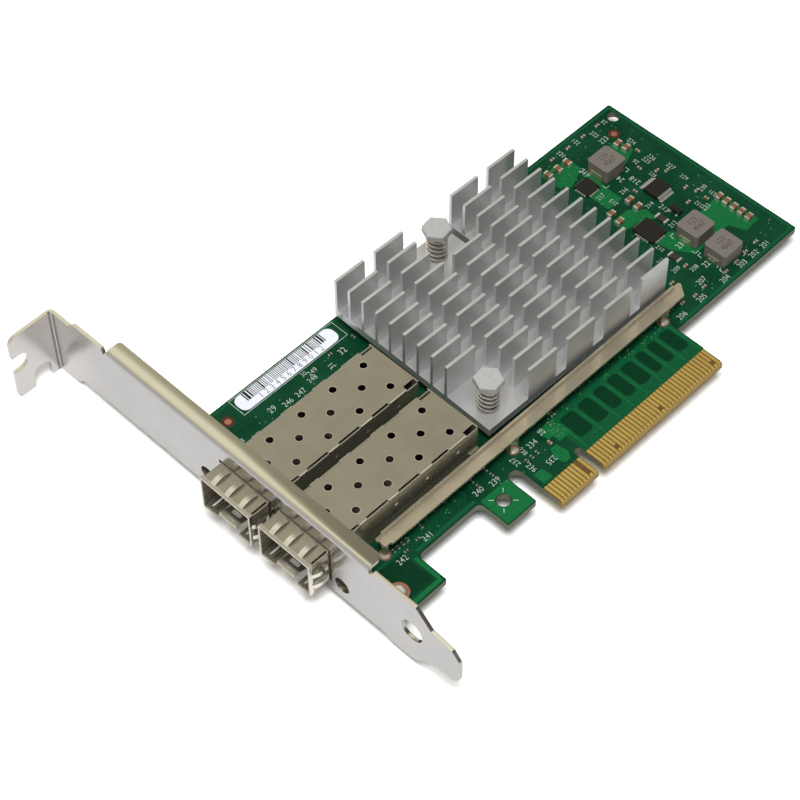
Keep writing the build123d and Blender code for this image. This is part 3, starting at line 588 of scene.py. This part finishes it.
def end_tree(tree, geometry, finish):
    real = tree.nodes.new("GeometryNodeRealizeInstances")
    paint = tree.nodes.new("GeometryNodeSetMaterial")
    paint.inputs["Material"].default_value = finish
    out = tree.nodes.new("NodeGroupOutput")
    tree.links.new(geometry, real.inputs["Geometry"])
    tree.links.new(real.outputs["Geometry"], paint.inputs["Geometry"])
    tree.links.new(paint.outputs["Geometry"], out.inputs["Geometry"])


def grow(name, points, edges, tree, sizes):
    # Runs the tree on a mesh of points and edges, and keeps what it makes as a plain mesh.
    seed_mesh = bpy.data.meshes.new(name + "_guide")
    seed_mesh.from_pydata(points, edges, [])
    guide = bpy.data.objects.new(name + "_guide", seed_mesh)
    bpy.context.scene.collection.objects.link(guide)
    modifier = guide.modifiers.new("grow", "NODES")
    modifier.node_group = tree
    for item in tree.interface.items_tree:
        if item.in_out == "INPUT" and item.name in sizes:
            modifier[item.identifier] = sizes[item.name]
    bpy.context.view_layer.update()
    graph = bpy.context.evaluated_depsgraph_get()
    mesh = bpy.data.meshes.new_from_object(guide.evaluated_get(graph))
    bpy.data.objects.remove(guide)
    mesh.name = name
    return keep(name, mesh)


def track_tree(finish):
    tree, given = start_tree("flat_track", [
        ("Width", "NodeSocketFloat"), ("Thickness", "NodeSocketFloat")])
    curve = tree.nodes.new("GeometryNodeMeshToCurve")
    upright = tree.nodes.new("GeometryNodeSetCurveNormal")
    upright.mode = "Z_UP"
    section = tree.nodes.new("GeometryNodeCurvePrimitiveQuadrilateral")
    sweep = tree.nodes.new("GeometryNodeCurveToMesh")
    sweep.inputs["Fill Caps"].default_value = True
    tree.links.new(given.outputs["Geometry"], curve.inputs["Mesh"])
    tree.links.new(curve.outputs["Curve"], upright.inputs["Curve"])
    tree.links.new(given.outputs["Width"], section.inputs["Width"])
    tree.links.new(given.outputs["Thickness"], section.inputs["Height"])
    tree.links.new(upright.outputs["Curve"], sweep.inputs["Curve"])
    tree.links.new(section.outputs["Curve"], sweep.inputs["Profile Curve"])
    end_tree(tree, sweep.outputs["Mesh"], finish)
    return tree


def tracks(name, lines, width, top, finish):
    # Lines are lists of (x, y) in mm.
    points, edges = [], []
    for line in lines:
        for i, (x, y) in enumerate(line):
            if i:
                edges.append((len(points) - 1, len(points)))
            points.append((x * mm, y * mm, (top + sunk) / 2))
    sizes = {"Width": width * mm, "Thickness": top - sunk}
    return grow(name, points, edges, track_tree(finish), sizes)


# %% [markdown]
# From each contact a short track leaves upwards. Every fourth or fifth one is a ground line that
# climbs beside a window and ends in a small cross. The signal tracks pair up, turn by 45 degrees
# and dive under the stiffener bar towards the controller.

# %% Tracks above the contacts
contact_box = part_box("edge_contacts_top")
pitch, key_gap, before_key, contact_count = 1.0, 2.0, 11, 49


def contact_x(number):
    return (number - 1) * pitch + (key_gap if number > before_key else 0)


foot_y = contacts_top - 0.1
ground_lines, signal_lines = [], []
for number in range(1, contact_count + 1):
    x = contact_x(number)
    lean = 0.3 if number % 2 else -0.3
    if number > before_key:
        signal_lines.append([(x, foot_y), (x, 6.5), (x + lean, 7.2), (x + lean, 8.2)])
    else:
        signal_lines.append([(x, foot_y), (x, 6.2 + 0.25 * (number % 3))])
for x in window_edges:
    ground_lines.append([(x, 6.2), (x, 15.8)])
    ground_lines.append([(x - 0.8, 15.3), (x + 0.8, 15.3)])
tracks("ground_tracks", ground_lines, 0.30, track_top, copper_under)
tracks("contact_tracks", signal_lines, 0.24, track_top * 0.9, copper_faint)

fan_lines = []
for i in range(14):
    start = 15.0 + i * 2.55
    fan_lines.append([(start, 15.9 + 0.12 * (i % 3)), (start + 1.6, 17.4 + 0.1 * (i % 2)),
                      (start + 1.6, 20.4)])
for i in range(9):
    x = -29.0 + i * 2.1
    fan_lines.append([(x, 14.3 + 0.4 * (i % 2)), (x + 1.4, 15.9), (x + 1.4, 18.2)])
for i in range(12):
    y = 58.6 + 0.35 * i
    fan_lines.append([(61.0 + 0.2 * i, y), (63.2 + 0.4 * i, y + 1.6), (64.4 + 0.6 * i, y + 1.6)])
for i in range(7):
    x = 60.0 + i * 0.6
    fan_lines.append([(x, 15.2), (x + 1.2, 16.6 + 0.4 * i), (x + 1.2, 20.5)])
tracks("signal_tracks", fan_lines, 0.14, track_top * 0.9, copper_faint)

# %% [markdown]
# ## Plated holes
# Small plated through-holes dot the free areas. They are one short ring each, so the tree puts an
# instance of a low ring on every point of a guide mesh, and a smaller dark disc in each, painted
# shade in the hole. The points are drawn with a fixed seed inside the areas where the real board
# has them, so that the result is the same each time.

# %% Plated holes
def dot_tree(finish):
    tree, given = start_tree("plated_hole", [
        ("Radius", "NodeSocketFloat"), ("Height", "NodeSocketFloat")])
    ring = tree.nodes.new("GeometryNodeMeshCylinder")
    ring.inputs["Vertices"].default_value = 10
    spread_out = tree.nodes.new("GeometryNodeInstanceOnPoints")
    tree.links.new(given.outputs["Radius"], ring.inputs["Radius"])
    tree.links.new(given.outputs["Height"], ring.inputs["Depth"])
    tree.links.new(given.outputs["Geometry"], spread_out.inputs["Points"])
    tree.links.new(ring.outputs["Mesh"], spread_out.inputs["Instance"])
    end_tree(tree, spread_out.outputs["Instances"], finish)
    return tree


hole_fields = [
    # x from, x to, y from, y to, how many
    (60.5, 90.0, 15.2, 19.0, 26), (62.5, 90.0, 32.5, 41.0, 22), (62.0, 90.0, 46.0, 66.5, 46),
    (-30.0, -14.0, 13.6, 18.0, 16), (-8.0, 9.0, 9.5, 16.0, 12), (13.0, 50.0, 15.6, 18.4, 44),
    (-36.0, -2.0, 55.0, 62.6, 26), (10.9, 14.2, 11.6, 16.0, 12),
]
random.seed(11)
hole_points = []
for x0, x1, y0, y1, count in hole_fields:
    for _ in range(count):
        hole_points.append((random.uniform(x0, x1) * mm, random.uniform(y0, y1) * mm, 0))
hole_rim = thin_layer("hole_rim", (0.10, 0.26, 0.13), 0.35, 0.2)
# the dark centre is painted shade in the hole
painted_hole_shade = thin_layer("painted_hole_shade", (0.010, 0.020, 0.012), 0.6, 0.2)
grow("hole_rims", hole_points, [], dot_tree(hole_rim),
     {"Radius": 0.17 * mm, "Height": 2 * ink_top * 0.9})
grow("hole_centres", hole_points, [], dot_tree(painted_hole_shade),
     {"Radius": 0.08 * mm, "Height": 2 * ink_top})

# %% [markdown]
# ## White print
# A short mark stands beside each part. They are plain running numbers, made with
# Blender's built-in font, turned to meshes and joined into one piece, with thin frames around the
# inductors, the label and the tab's hole. A low curve resolution keeps each numeral to a few faces.

# %% Numerals
number_places = [
    # digits, x, y, turn in degrees, height
    (3, 83.2, 15.0, 0, 1.5), (3, 79.3, 15.0, 0, 1.5), (3, 75.3, 15.0, 0, 1.5),
    (3, 69.2, 14.9, 0, 1.5), (3, 61.4, 15.0, 0, 1.5), (3, 54.6, 14.9, 0, 1.5),
    (3, 65.2, 18.3, 0, 1.5), (2, 71.2, 17.9, 90, 1.5), (2, 69.6, 20.6, 0, 1.6),
    (2, 69.8, 28.4, 0, 1.6), (2, 75.9, 51.2, 90, 1.6), (3, 66.9, 21.8, 0, 1.3),
    (3, 63.8, 24.4, 0, 1.3), (3, 66.0, 31.0, -90, 1.2), (3, 63.3, 28.4, 0, 1.2),
    (3, 73.6, 33.6, 0, 1.3), (3, 75.9, 38.2, -90, 1.5), (3, 74.4, 41.2, 0, 1.3),
    (3, 69.4, 47.6, 90, 1.3), (3, 73.6, 48.2, 0, 1.3), (3, 68.6, 50.8, 0, 1.3),
    (3, 77.9, 48.6, 90, 1.6), (3, 71.6, 58.4, -90, 1.6), (3, 72.2, 66.2, -90, 1.3),
    (3, 77.6, 66.4, 90, 1.3), (3, 82.3, 64.9, -90, 1.3), (3, 82.5, 62.1, 0, 1.5),
    (2, 87.0, 65.9, 90, 1.3), (3, 86.6, 57.2, -90, 1.3), (3, 84.4, 50.8, -90, 1.3),
    (3, 86.0, 50.6, -90, 1.3), (2, 82.5, 52.3, 90, 1.3), (3, 86.9, 45.6, -90, 1.3),
    (3, 82.0, 46.9, -90, 1.1), (3, 86.4, 41.2, -90, 1.2), (3, 86.8, 35.9, 0, 1.3),
    (3, 87.2, 33.4, 90, 1.2), (3, 82.4, 33.4, 90, 1.2), (3, 82.8, 31.6, 0, 1.4),
    (2, 14.9, 17.2, 90, 1.3), (2, 9.9, 15.6, 90, 1.5), (3, 6.2, 14.9, 0, 1.5),
    (3, 5.9, 9.3, 180, 1.5), (3, 1.6, 10.9, -90, 1.4), (3, 0.4, 14.3, 90, 1.4),
    (3, 3.4, 15.0, -90, 1.2), (3, -6.2, 13.9, 0, 1.5), (3, -10.4, 14.6, 0, 1.5),
    (3, -25.6, 14.4, 0, 1.5), (3, -33.3, 14.0, 0, 1.5), (3, -27.6, 18.9, 0, 1.1),
    (3, -24.4, 18.9, 0, 1.1), (3, -21.2, 18.9, 0, 1.1), (2, -25.2, 60.4, 0, 1.7),
    (3, -21.6, 59.3, 0, 1.5), (3, -17.9, 59.3, 0, 1.5), (3, -13.6, 60.2, 0, 1.4),
    (3, -12.2, 61.6, 0, 1.4), (2, -14.0, 62.4, 0, 1.3), (2, -8.2, 59.8, 90, 1.5),
    (2, -3.8, 61.0, 0, 1.7), (2, -35.6, 58.9, 0, 1.4),
]
next_number = {2: 21, 3: 201}
print_marks = []
for digit_count, *place in number_places:
    print_marks.append((str(next_number[digit_count]), *place))
    next_number[digit_count] += 1
print("numbers", len(print_marks))


size_per_height, narrowed, thinned = 1.35, 0.88, -0.03 * mm


def numeral_mesh(text, height):
    font = bpy.data.curves.new("numerals", "FONT")
    font.body = text
    font.size = height * mm * size_per_height
    font.align_x = "CENTER"
    font.align_y = "CENTER"
    font.resolution_u = 2
    font.offset = thinned
    font.extrude = (ink_top - sunk) / 2
    shape = bpy.data.objects.new("numerals", font)
    bpy.context.scene.collection.objects.link(shape)
    bpy.context.view_layer.update()
    mesh = bpy.data.meshes.new_from_object(shape.evaluated_get(bpy.context.evaluated_depsgraph_get()))
    bpy.data.objects.remove(shape)
    return mesh


def numerals(name, marks, middle_z, finish):
    points, faces = [], []
    for text, x, y, turn, height in marks:
        mesh = numeral_mesh(text, height)
        place = (Matrix.Translation((x * mm, y * mm, middle_z))
                 @ Matrix.Rotation(math.radians(turn), 4, "Z") @ Matrix.Diagonal((narrowed, 1, 1, 1)))
        first = len(points)
        points += [tuple(place @ v.co) for v in mesh.vertices]
        faces += [[first + i for i in face.vertices] for face in mesh.polygons]
        bpy.data.meshes.remove(mesh)
    return mesh_piece(name, points, faces, finish)


numerals("board_numerals", print_marks, (ink_top + sunk) / 2, ink_finish)

# %% [markdown]
# Thin white lines go with the numerals: a corner mark at each corner of an inductor, a frame round
# the label, and four ticks round the tab's hole. They are lines too, so the track tree draws them.

# %% Frames and ticks
inductor_places = ((75.5, 55.4), (74.4, 28.1), (74.3, 20.0))
frame_half_x, frame_half_y, corner_run = 4.0, 3.7, 1.1
frame_lines = []


def corner_marks(x0, x1, y0, y1, run):
    for x, sx in ((x0, 1), (x1, -1)):
        for y, sy in ((y0, 1), (y1, -1)):
            frame_lines.append([(x + sx * run, y), (x, y), (x, y + sy * run)])


for x, y in inductor_places:
    corner_marks(x - frame_half_x, x + frame_half_x, y - frame_half_y, y + frame_half_y, corner_run)
label_low, label_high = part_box("label")
gap_x, gap_y = 0.5, 0.3
x0, x1 = label_low.x / mm - gap_x, label_high.x / mm + gap_x
y0, y1 = label_low.y / mm - gap_y, label_high.y / mm + gap_y
frame_lines.append([(x0, y0), (x1 + 0.9, y0), (x1 + 0.9, y1), (x0, y1), (x0, y0)])
for turn in range(4):
    a = math.radians(45 + 90 * turn)
    frame_lines.append([(tab_hole[0] + r * math.cos(a), tab_hole[1] + r * math.sin(a))
                        for r in (2.0, 3.1)])
tracks("print_frames", frame_lines, 0.16, ink_top, ink_finish)

# %% [markdown]
# ## What is missing or worn at the contacts
# Between the contacts, and where the tenth is gone and three others stop short, the bare ground
# shows brown. Two thin brown prisms lie there, lower than the gold, one on each side of the key.
# The two optical dots stand on round grounds that are kept clear of lacquer and look dark red.

# %% Bare contact grounds
ground_low, ground_side = 1.25, 0.6
grounds = []
for first, last in ((1, before_key), (before_key + 1, contact_count)):
    grounds.append(rectangle(contact_x(first) - ground_side, contact_x(last) + ground_side,
                             ground_low, contacts_top + 0.05))
prisms("bare_contact_grounds", grounds, sunk, area_top, bare_resin)

fiducial_low, fiducial_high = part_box("fiducials")
fiducial_r = 0.75
fiducial_places = [(fiducial_low.x / mm + fiducial_r, fiducial_high.y / mm - fiducial_r),
                   (fiducial_high.x / mm - fiducial_r, fiducial_low.y / mm + fiducial_r)]
clear_grounds = [disc(x, y, 1.4) for x, y in fiducial_places]
red_resin = thin_layer("bare_ground_round_dots", (0.075, 0.018, 0.010), 0.45, 0.25, bump=0.1)
prisms("dot_grounds", clear_grounds, sunk, area_top, red_resin)

# %% [markdown]
# ## The push pins' springs
# Each spring is a round wire wound in a helix, so a Geometry Nodes tree does what a coiling
# machine does: a spiral curve, a round section swept along it, one instance on each pin. The two
# closed end turns of a real spring are left as part of the same pitch. The pins' places and the
# spring's height come from the frame, so it always fits between heatsink and head.

# %% Springs
spring_low, spring_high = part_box("push_pin_springs")
wire_r, coil_r, coil_turns = 0.26 * mm, 2.2 * mm, 5.0
coil_height = spring_high.z - spring_low.z - 2 * wire_r
spring_half = 2.44  # from a spring's axis to the side of its box, in mm
pin_places = [(spring_high.x / mm - spring_half, spring_high.y / mm - spring_half),
              (spring_low.x / mm + spring_half, spring_low.y / mm + spring_half)]


def coil_tree(finish):
    tree, given = start_tree("coiled_wire", [
        ("Turns", "NodeSocketFloat"), ("Coil radius", "NodeSocketFloat"),
        ("Wire radius", "NodeSocketFloat"), ("Height", "NodeSocketFloat")])
    spiral = tree.nodes.new("GeometryNodeCurveSpiral")
    spiral.inputs["Resolution"].default_value = 30
    section = tree.nodes.new("GeometryNodeCurvePrimitiveCircle")
    section.inputs["Resolution"].default_value = 10
    sweep = tree.nodes.new("GeometryNodeCurveToMesh")
    sweep.inputs["Fill Caps"].default_value = True
    smooth = tree.nodes.new("GeometryNodeSetShadeSmooth")
    spread_out = tree.nodes.new("GeometryNodeInstanceOnPoints")
    for label, socket in (("Turns", spiral.inputs["Rotations"]), ("Height", spiral.inputs["Height"]),
                          ("Coil radius", spiral.inputs["Start Radius"]),
                          ("Coil radius", spiral.inputs["End Radius"]),
                          ("Wire radius", section.inputs["Radius"])):
        tree.links.new(given.outputs[label], socket)
    tree.links.new(spiral.outputs["Curve"], sweep.inputs["Curve"])
    tree.links.new(section.outputs["Curve"], sweep.inputs["Profile Curve"])
    tree.links.new(sweep.outputs["Mesh"], smooth.inputs["Geometry"])
    tree.links.new(smooth.outputs["Geometry"], spread_out.inputs["Instance"])
    tree.links.new(given.outputs["Geometry"], spread_out.inputs["Points"])
    end_tree(tree, spread_out.outputs["Instances"], finish)
    return tree


coil_points = [(x * mm, y * mm, spring_low.z + wire_r) for x, y in pin_places]
coils = grow("coil_springs", coil_points, [], coil_tree(spring_finish),
             {"Turns": coil_turns, "Coil radius": coil_r, "Wire radius": wire_r, "Height": coil_height})
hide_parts("push_pin_springs")

# %% [markdown]
# ## The label
# The CAD label is a plain block. Here it becomes a sticker with round ends, on the same place and
# no larger. It carries a row of bars that run out over its upper edge, heavy at both ends, and a
# row of numerals. Both are made up: the bars come from a seeded run, the numerals just count up.

# %% Label
end_round = 1.7
outline = rounded(label_low.x / mm, label_high.x / mm, label_low.y / mm, label_high.y / mm, end_round)
sticker = prisms("sticker", [outline], 0.0, label_high.z, paper_finish)
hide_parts("label")
random.seed(5)
label_ink_low = label_high.z - 0.01 * mm
label_ink_high = label_high.z + 0.012 * mm
bars, x = [], label_low.x / mm + 2.6
bar_low, bar_high = label_low.y / mm + 1.85, label_high.y / mm - 0.02
bars.append(rectangle(x, x + 0.3, bar_low, bar_high))
bars.append(rectangle(x + 0.5, x + 1.15, bar_low, bar_high))
x += 1.45
while x < label_high.x / mm - 4.4:
    wide = random.choice((0.16, 0.16, 0.20, 0.20, 0.40))
    bars.append(rectangle(x, x + wide, bar_low, bar_high))
    x += wide + random.choice((0.22, 0.26, 0.26, 0.42))
bars.append(rectangle(x, x + 0.55, bar_low, bar_high))
bars.append(rectangle(x + 0.75, x + 1.0, bar_low, bar_high))
prisms("label_bars", bars, label_ink_low, label_ink_high, black_ink)
digits = [(d, label_low.x / mm + 5.6 + i * 1.62, label_low.y / mm + 0.95, 0, 1.6)
          for i, d in enumerate("123456789012")]
font_middle = (label_ink_low + label_ink_high) / 2
numerals("label_numerals", digits, font_middle - 0.002 * mm, black_ink)

# %% [markdown]
# ## Rims, folds, rolled tips and solder fillets
# Four small things finish the metal. Each punched vent has a bright rim, a flat ring of lighter metal
# that is a painted highlight on the rim, and the fold between two slits gets a bright strip, a
# painted highlight on the bend. Each latch tongue ends in a rolled tip, wider than its sheet, in the
# same lighter metal, a painted highlight. And each pad of the two converter chips carries a low
# fillet of solder that shows beside the black body.

# %% Vent rims and painted fold highlights
def annuli(name, places, inner, outer, low, high, finish, segments=28):
    points, faces = [], []
    for x, y in places:
        first = len(points)
        for r, z in ((outer, low), (outer, high), (inner, high), (inner, low)):
            for k in range(segments):
                a = 2 * math.pi * k / segments
                points.append(((x + r * math.cos(a)) * mm, (y + r * math.sin(a)) * mm, z))
        for step in range(4):
            at, after = first + step * segments, first + (step + 1) % 4 * segments
            for k in range(segments):
                j = (k + 1) % segments
                faces.append([at + k, at + j, after + j, after + k])
    return mesh_piece(name, points, faces, finish)


cage_tops = [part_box("cage_cover_1"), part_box("cage_cover_2")]
vent_pitch, side_row_x, middle_row_x, side_row_y = 9.0, -35.75, -40.2, 3.95
vents = []
for cage_low, cage_high in cage_tops:
    middle = (cage_low.y + cage_high.y) / 2 / mm
    for i in range(4):
        side_x = side_row_x + vent_pitch * i
        vents += [(side_x, middle + side_row_y), (side_x, middle - side_row_y),
                  (middle_row_x + vent_pitch * i, middle)]
top_z = cage_tops[0][1].z
vent_r, rim_r = 0.86, 0.98
# the vent rims' lighter metal is a painted highlight
annuli("vent_rims", vents, vent_r, rim_r, top_z - 0.01 * mm, top_z + 0.02 * mm, highlight_metal_finish)
fold_highlight_runs = []
for cage_low, cage_high in cage_tops:
    last_end = cage_high.x / mm - 3.4
    for start, end in ((-37.7, -35.8), (-29.4, -26.8), (-20.4, -17.2), (-12.0, last_end)):
        fold_highlight_runs.append(rectangle(start, end, cage_low.y / mm + 0.30, cage_low.y / mm + 0.62))
# bright strips along the folds are painted highlights
prisms("painted_fold_highlights", fold_highlight_runs, top_z - 0.01 * mm, top_z + 0.015 * mm, highlight_metal_finish)


# %% [markdown]
# A rolled tip is a short cylinder along Y at the end of its tongue, a little lower than the sheet's
# top. The fillets are small low blocks at the pads' pitch, and the chips' sides place them.

# %% Latch tips and solder fillets
def smooth_walls(piece):
    # The walls of a round piece are its four-sided faces, and its ends have more sides.
    for face in piece.data.polygons:
        face.use_smooth = len(face.vertices) == 4


def rolls(name, places, r, half, finish, segments=20):
    # Cylinders along Y at (x, y, z) in mm.
    points, faces = [], []
    for x, y, z in places:
        first = len(points)
        for end in (-half, half):
            for k in range(segments):
                a = 2 * math.pi * k / segments
                points.append(((x + r * math.cos(a)) * mm, (y + end) * mm,
                               (z + r * math.sin(a)) * mm))
        for k in range(segments):
            j = (k + 1) % segments
            faces.append([first + k, first + segments + k, first + segments + j, first + j])
        faces.append([first + k for k in range(segments)])
        faces.append([first + segments + k for k in reversed(range(segments))])
    piece = mesh_piece(name, points, faces, finish)
    smooth_walls(piece)
    return piece


tips, tip_r, tip_half = [], 0.8, 2.5
for name in ("cage_floor_1", "cage_floor_2"):
    floor_low, floor_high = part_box(name)
    middle = (floor_low.y + floor_high.y) / 2 / mm
    tips.append((floor_low.x / mm + tip_r, middle, floor_high.z / mm - tip_r + 0.05))
# the tips' lighter metal is a painted highlight
rolls("latch_tips", tips, tip_r, tip_half, highlight_metal_finish)

# the middle of each converter chip, its sides, and its pads along X and along Y
converter_chips = [((68.4, 54.8), (4.0, 4.0), (5, 5)), ((68.1, 35.9), (4.9, 5.9), (5, 6))]
pad_pitch, pad_half, fillet_half, fillet_out = 0.65, 0.17, 0.2, 0.22
fillets = []
for (cx, cy), (wide, deep), (per_x, per_y) in converter_chips:
    for side in (-1, 1):
        for i in range(per_x):
            x, y = cx + (i - (per_x - 1) / 2) * pad_pitch, cy + side * (deep / 2 + fillet_out)
            fillets.append(rectangle(x - pad_half, x + pad_half, y - fillet_half, y + fillet_half))
        for i in range(per_y):
            x, y = cx + side * (wide / 2 + fillet_out), cy + (i - (per_y - 1) / 2) * pad_pitch
            fillets.append(rectangle(x - fillet_half, x + fillet_half, y - pad_half, y + pad_half))
prisms("solder_fillets", fillets, 0.0, 0.26 * mm, solder_finish)

# %% [markdown]
# The three inductors carry two rows of numerals on top, in a grey a little darker than the body.

# %% Inductor print
inductor_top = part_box("inductors")[1].z
marks = []
row_half = 0.95
for x, y in inductor_places:
    marks += [("123", x, y + row_half, 0, 1.5), ("4567", x, y - row_half, 0, 1.5)]
numerals("inductor_numerals", marks, inductor_top, black_ink)

# %% [markdown]
# ## Solder at the legs
# Where a leg of the stiffener bar or a screw comes through its plated ring, the real joint is a
# small hollow-sided cone of solder. It is a revolved profile, the same for each leg.

# %% Solder cones
def turned(name, places, profile, segments, finish):
    # Profile is a list of (radius, height) in mm, from the outer foot up to the axis.
    points, faces = [], []
    for px, py in places:
        first = len(points)
        rings = []
        for r, z in profile:
            ring = []
            for k in range(segments):
                a = 2 * math.pi * k / segments
                ring.append(len(points))
                points.append(((px + r * math.cos(a)) * mm, (py + r * math.sin(a)) * mm, z * mm))
            rings.append(ring)
        for low_ring, high_ring in zip(rings[:-1], rings[1:]):
            for k in range(segments):
                j = (k + 1) % segments
                faces.append([low_ring[k], low_ring[j], high_ring[j], high_ring[k]])
        faces.append(rings[-1])
        faces.append(rings[0][::-1])
    piece = mesh_piece(name, points, faces, finish)
    smooth_walls(piece)
    return piece


leg_places = [(2.43, 16.75), (50.4, 16.75), (-34.8, 17.45)]
cone = [(1.12, -0.01), (1.12, 0.06), (0.95, 0.10), (0.82, 0.22), (0.74, 0.45), (0.70, 0.46)]
turned("solder_joints", leg_places, cone, 24, solder_finish)

# %% [markdown]
# ## Floor and light
# The photograph stands on plain white with only a tight soft shadow. The floor is a white diffuse
# sheet just under the lowest point. Camera rays see it lighter than it is, and lighter still far
# away, so the background reaches white while the shadow stays.

# %% Floor
floor_white, camera_white = (0.90, 0.90, 0.90), (1.2, 1.2, 1.2)
floor_lift, far_lift = 0.05, 0.8
floor_half = 3.0


def white_floor():
    low = cad_low.z - 0.02 * mm
    corners = [(-floor_half, -floor_half, low), (floor_half, -floor_half, low),
               (floor_half, floor_half, low), (-floor_half, floor_half, low)]
    mesh = bpy.data.meshes.new("floor")
    mesh.from_pydata(corners, [], [(0, 1, 2, 3)])
    floor = bpy.data.objects.new("floor", mesh)
    bpy.context.scene.collection.objects.link(floor)
    material, tree, shader = new_material("white_floor", floor_white, 0.0, 0.9)
    shader.inputs["Specular IOR Level"].default_value = 0.0
    path = tree.nodes.new("ShaderNodeLightPath").outputs
    seen = maths(tree, "MAXIMUM", path["Is Camera Ray"], path["Is Glossy Ray"])
    away = tree.nodes.new("ShaderNodeVectorMath")
    away.operation = "LENGTH"
    tree.links.new(object_vector(tree), away.inputs[0])
    far = spread(tree, away.outputs["Value"], 0.3, 1.2, 0, far_lift)
    far = maths(tree, "MULTIPLY", far, path["Is Camera Ray"])
    near = maths(tree, "MULTIPLY", seen, floor_lift)
    lift = tree.nodes.new("ShaderNodeEmission")
    tree.links.new(maths(tree, "ADD", near, far), lift.inputs["Strength"])
    whiter = mixed(tree, path["Is Camera Ray"], floor_white, camera_white)
    tree.links.new(whiter, shader.inputs["Base Color"])
    both = tree.nodes.new("ShaderNodeAddShader")
    tree.links.new(shader.outputs[0], both.inputs[0])
    tree.links.new(lift.outputs[0], both.inputs[1])
    tree.links.new(both.outputs[0], tree.nodes["Material Output"].inputs["Surface"])
    mesh.materials.append(material)
    print("floor at", round(low / mm, 2), "mm")


white_floor()

# %% [markdown]
# The world is a soft box that metal can mirror: brighter towards the board's top edge, darker
# towards its rear and its contacts, and brightest overhead. Mirrors see it at full strength, and
# as a light it is only a third as strong. One lamp stands above the bracket's side and gives the
# direction, so that the shadow falls behind the card and shows only as a narrow band.

# %% World and lamp
sky_top = (1.12, 1.10, 1.04)
sky_near = (0.86, 0.83, 0.68)
sky_far = (0.15, 0.142, 0.12)
sky_level = (0.72, 0.72, 0.74)
sky_fill = 0.32
lamp_size, lamp_watts = 0.40, 7.4


def soft_world():
    world = bpy.data.worlds.new("soft_box")
    bpy.context.scene.world = world
    world.use_nodes = True
    tree = world.node_tree
    back = tree.nodes["Background"]
    where = split(tree, tree.nodes.new("ShaderNodeTexCoord").outputs["Generated"])
    side = spread(tree, maths(tree, "SUBTRACT", where["Y"], where["X"]), -0.5, 0.6, 0, 1)
    sky = mixed(tree, side, sky_far, sky_near)
    sky = mixed(tree, spread(tree, where["Z"], -0.05, 0.35, 0, 1), sky_level, sky)
    sky = mixed(tree, spread(tree, where["Z"], 0.84, 0.97, 0, 1), sky, sky_top)
    path = tree.nodes.new("ShaderNodeLightPath").outputs
    sky = mixed(tree, path["Is Camera Ray"], sky, (1.0, 1.0, 1.0))
    tree.links.new(sky, back.inputs["Color"])
    mirrored = maths(tree, "MAXIMUM", path["Is Glossy Ray"], path["Is Camera Ray"])
    strength = maths(tree, "ADD", maths(tree, "MULTIPLY", mirrored, 1.0 - sky_fill), sky_fill)
    tree.links.new(strength, back.inputs["Strength"])


def lamp(name, place, target, size, power):
    data = bpy.data.lights.new(name, "AREA")
    data.shape = "SQUARE"
    data.size = size
    data.energy = power
    light = bpy.data.objects.new(name, data)
    bpy.context.scene.collection.objects.link(light)
    light.location = place
    light.visible_glossy = False
    light.rotation_mode = "QUATERNION"
    light.rotation_quaternion = (Vector(target) - Vector(place)).to_track_quat("-Z", "Y")
    print(name, "at", [round(value, 2) for value in light.location])


soft_world()
centre = (cad_low + cad_high) / 2
lamp("key_lamp", (centre.x - 0.20, centre.y - 0.18, 0.80), centre, lamp_size, lamp_watts)

# %% [markdown]
# ## Camera
# The view was found from the card's known sizes: the lens, the place and the three turns below were
# fitted to the contacts, the board's corners and the bracket's ends in the photograph.
# The camera's axes are written out as a matrix, which is the plainest way to set a rolled view.

# %% Camera
def photo_camera():
    turn, tip, roll = math.radians(44.8933), math.radians(52.3585), math.radians(-0.8332)
    focal_px, image_px, sensor = 2263.89, 800, 36.0
    forward = Vector((math.sin(turn) * math.cos(tip), math.cos(turn) * math.cos(tip), -math.sin(tip)))
    level = Vector((math.cos(turn), -math.sin(turn), 0))
    rise = level.cross(forward)
    right = math.cos(roll) * level + math.sin(roll) * rise
    up = -math.sin(roll) * level + math.cos(roll) * rise
    data = bpy.data.cameras.new("photo_camera")
    data.sensor_width = sensor
    data.lens = focal_px / image_px * sensor
    data.clip_start, data.clip_end = 0.01, 10
    camera = bpy.data.objects.new("photo_camera", data)
    bpy.context.scene.collection.objects.link(camera)
    axes = Matrix((right, up, -forward)).transposed().to_4x4()
    camera.matrix_world = Matrix.Translation((-0.211107, -0.164423, 0.379265)) @ axes
    bpy.context.scene.camera = camera
    print("lens", round(data.lens, 2))


photo_camera()
bpy.context.scene.view_settings.view_transform = "Standard"
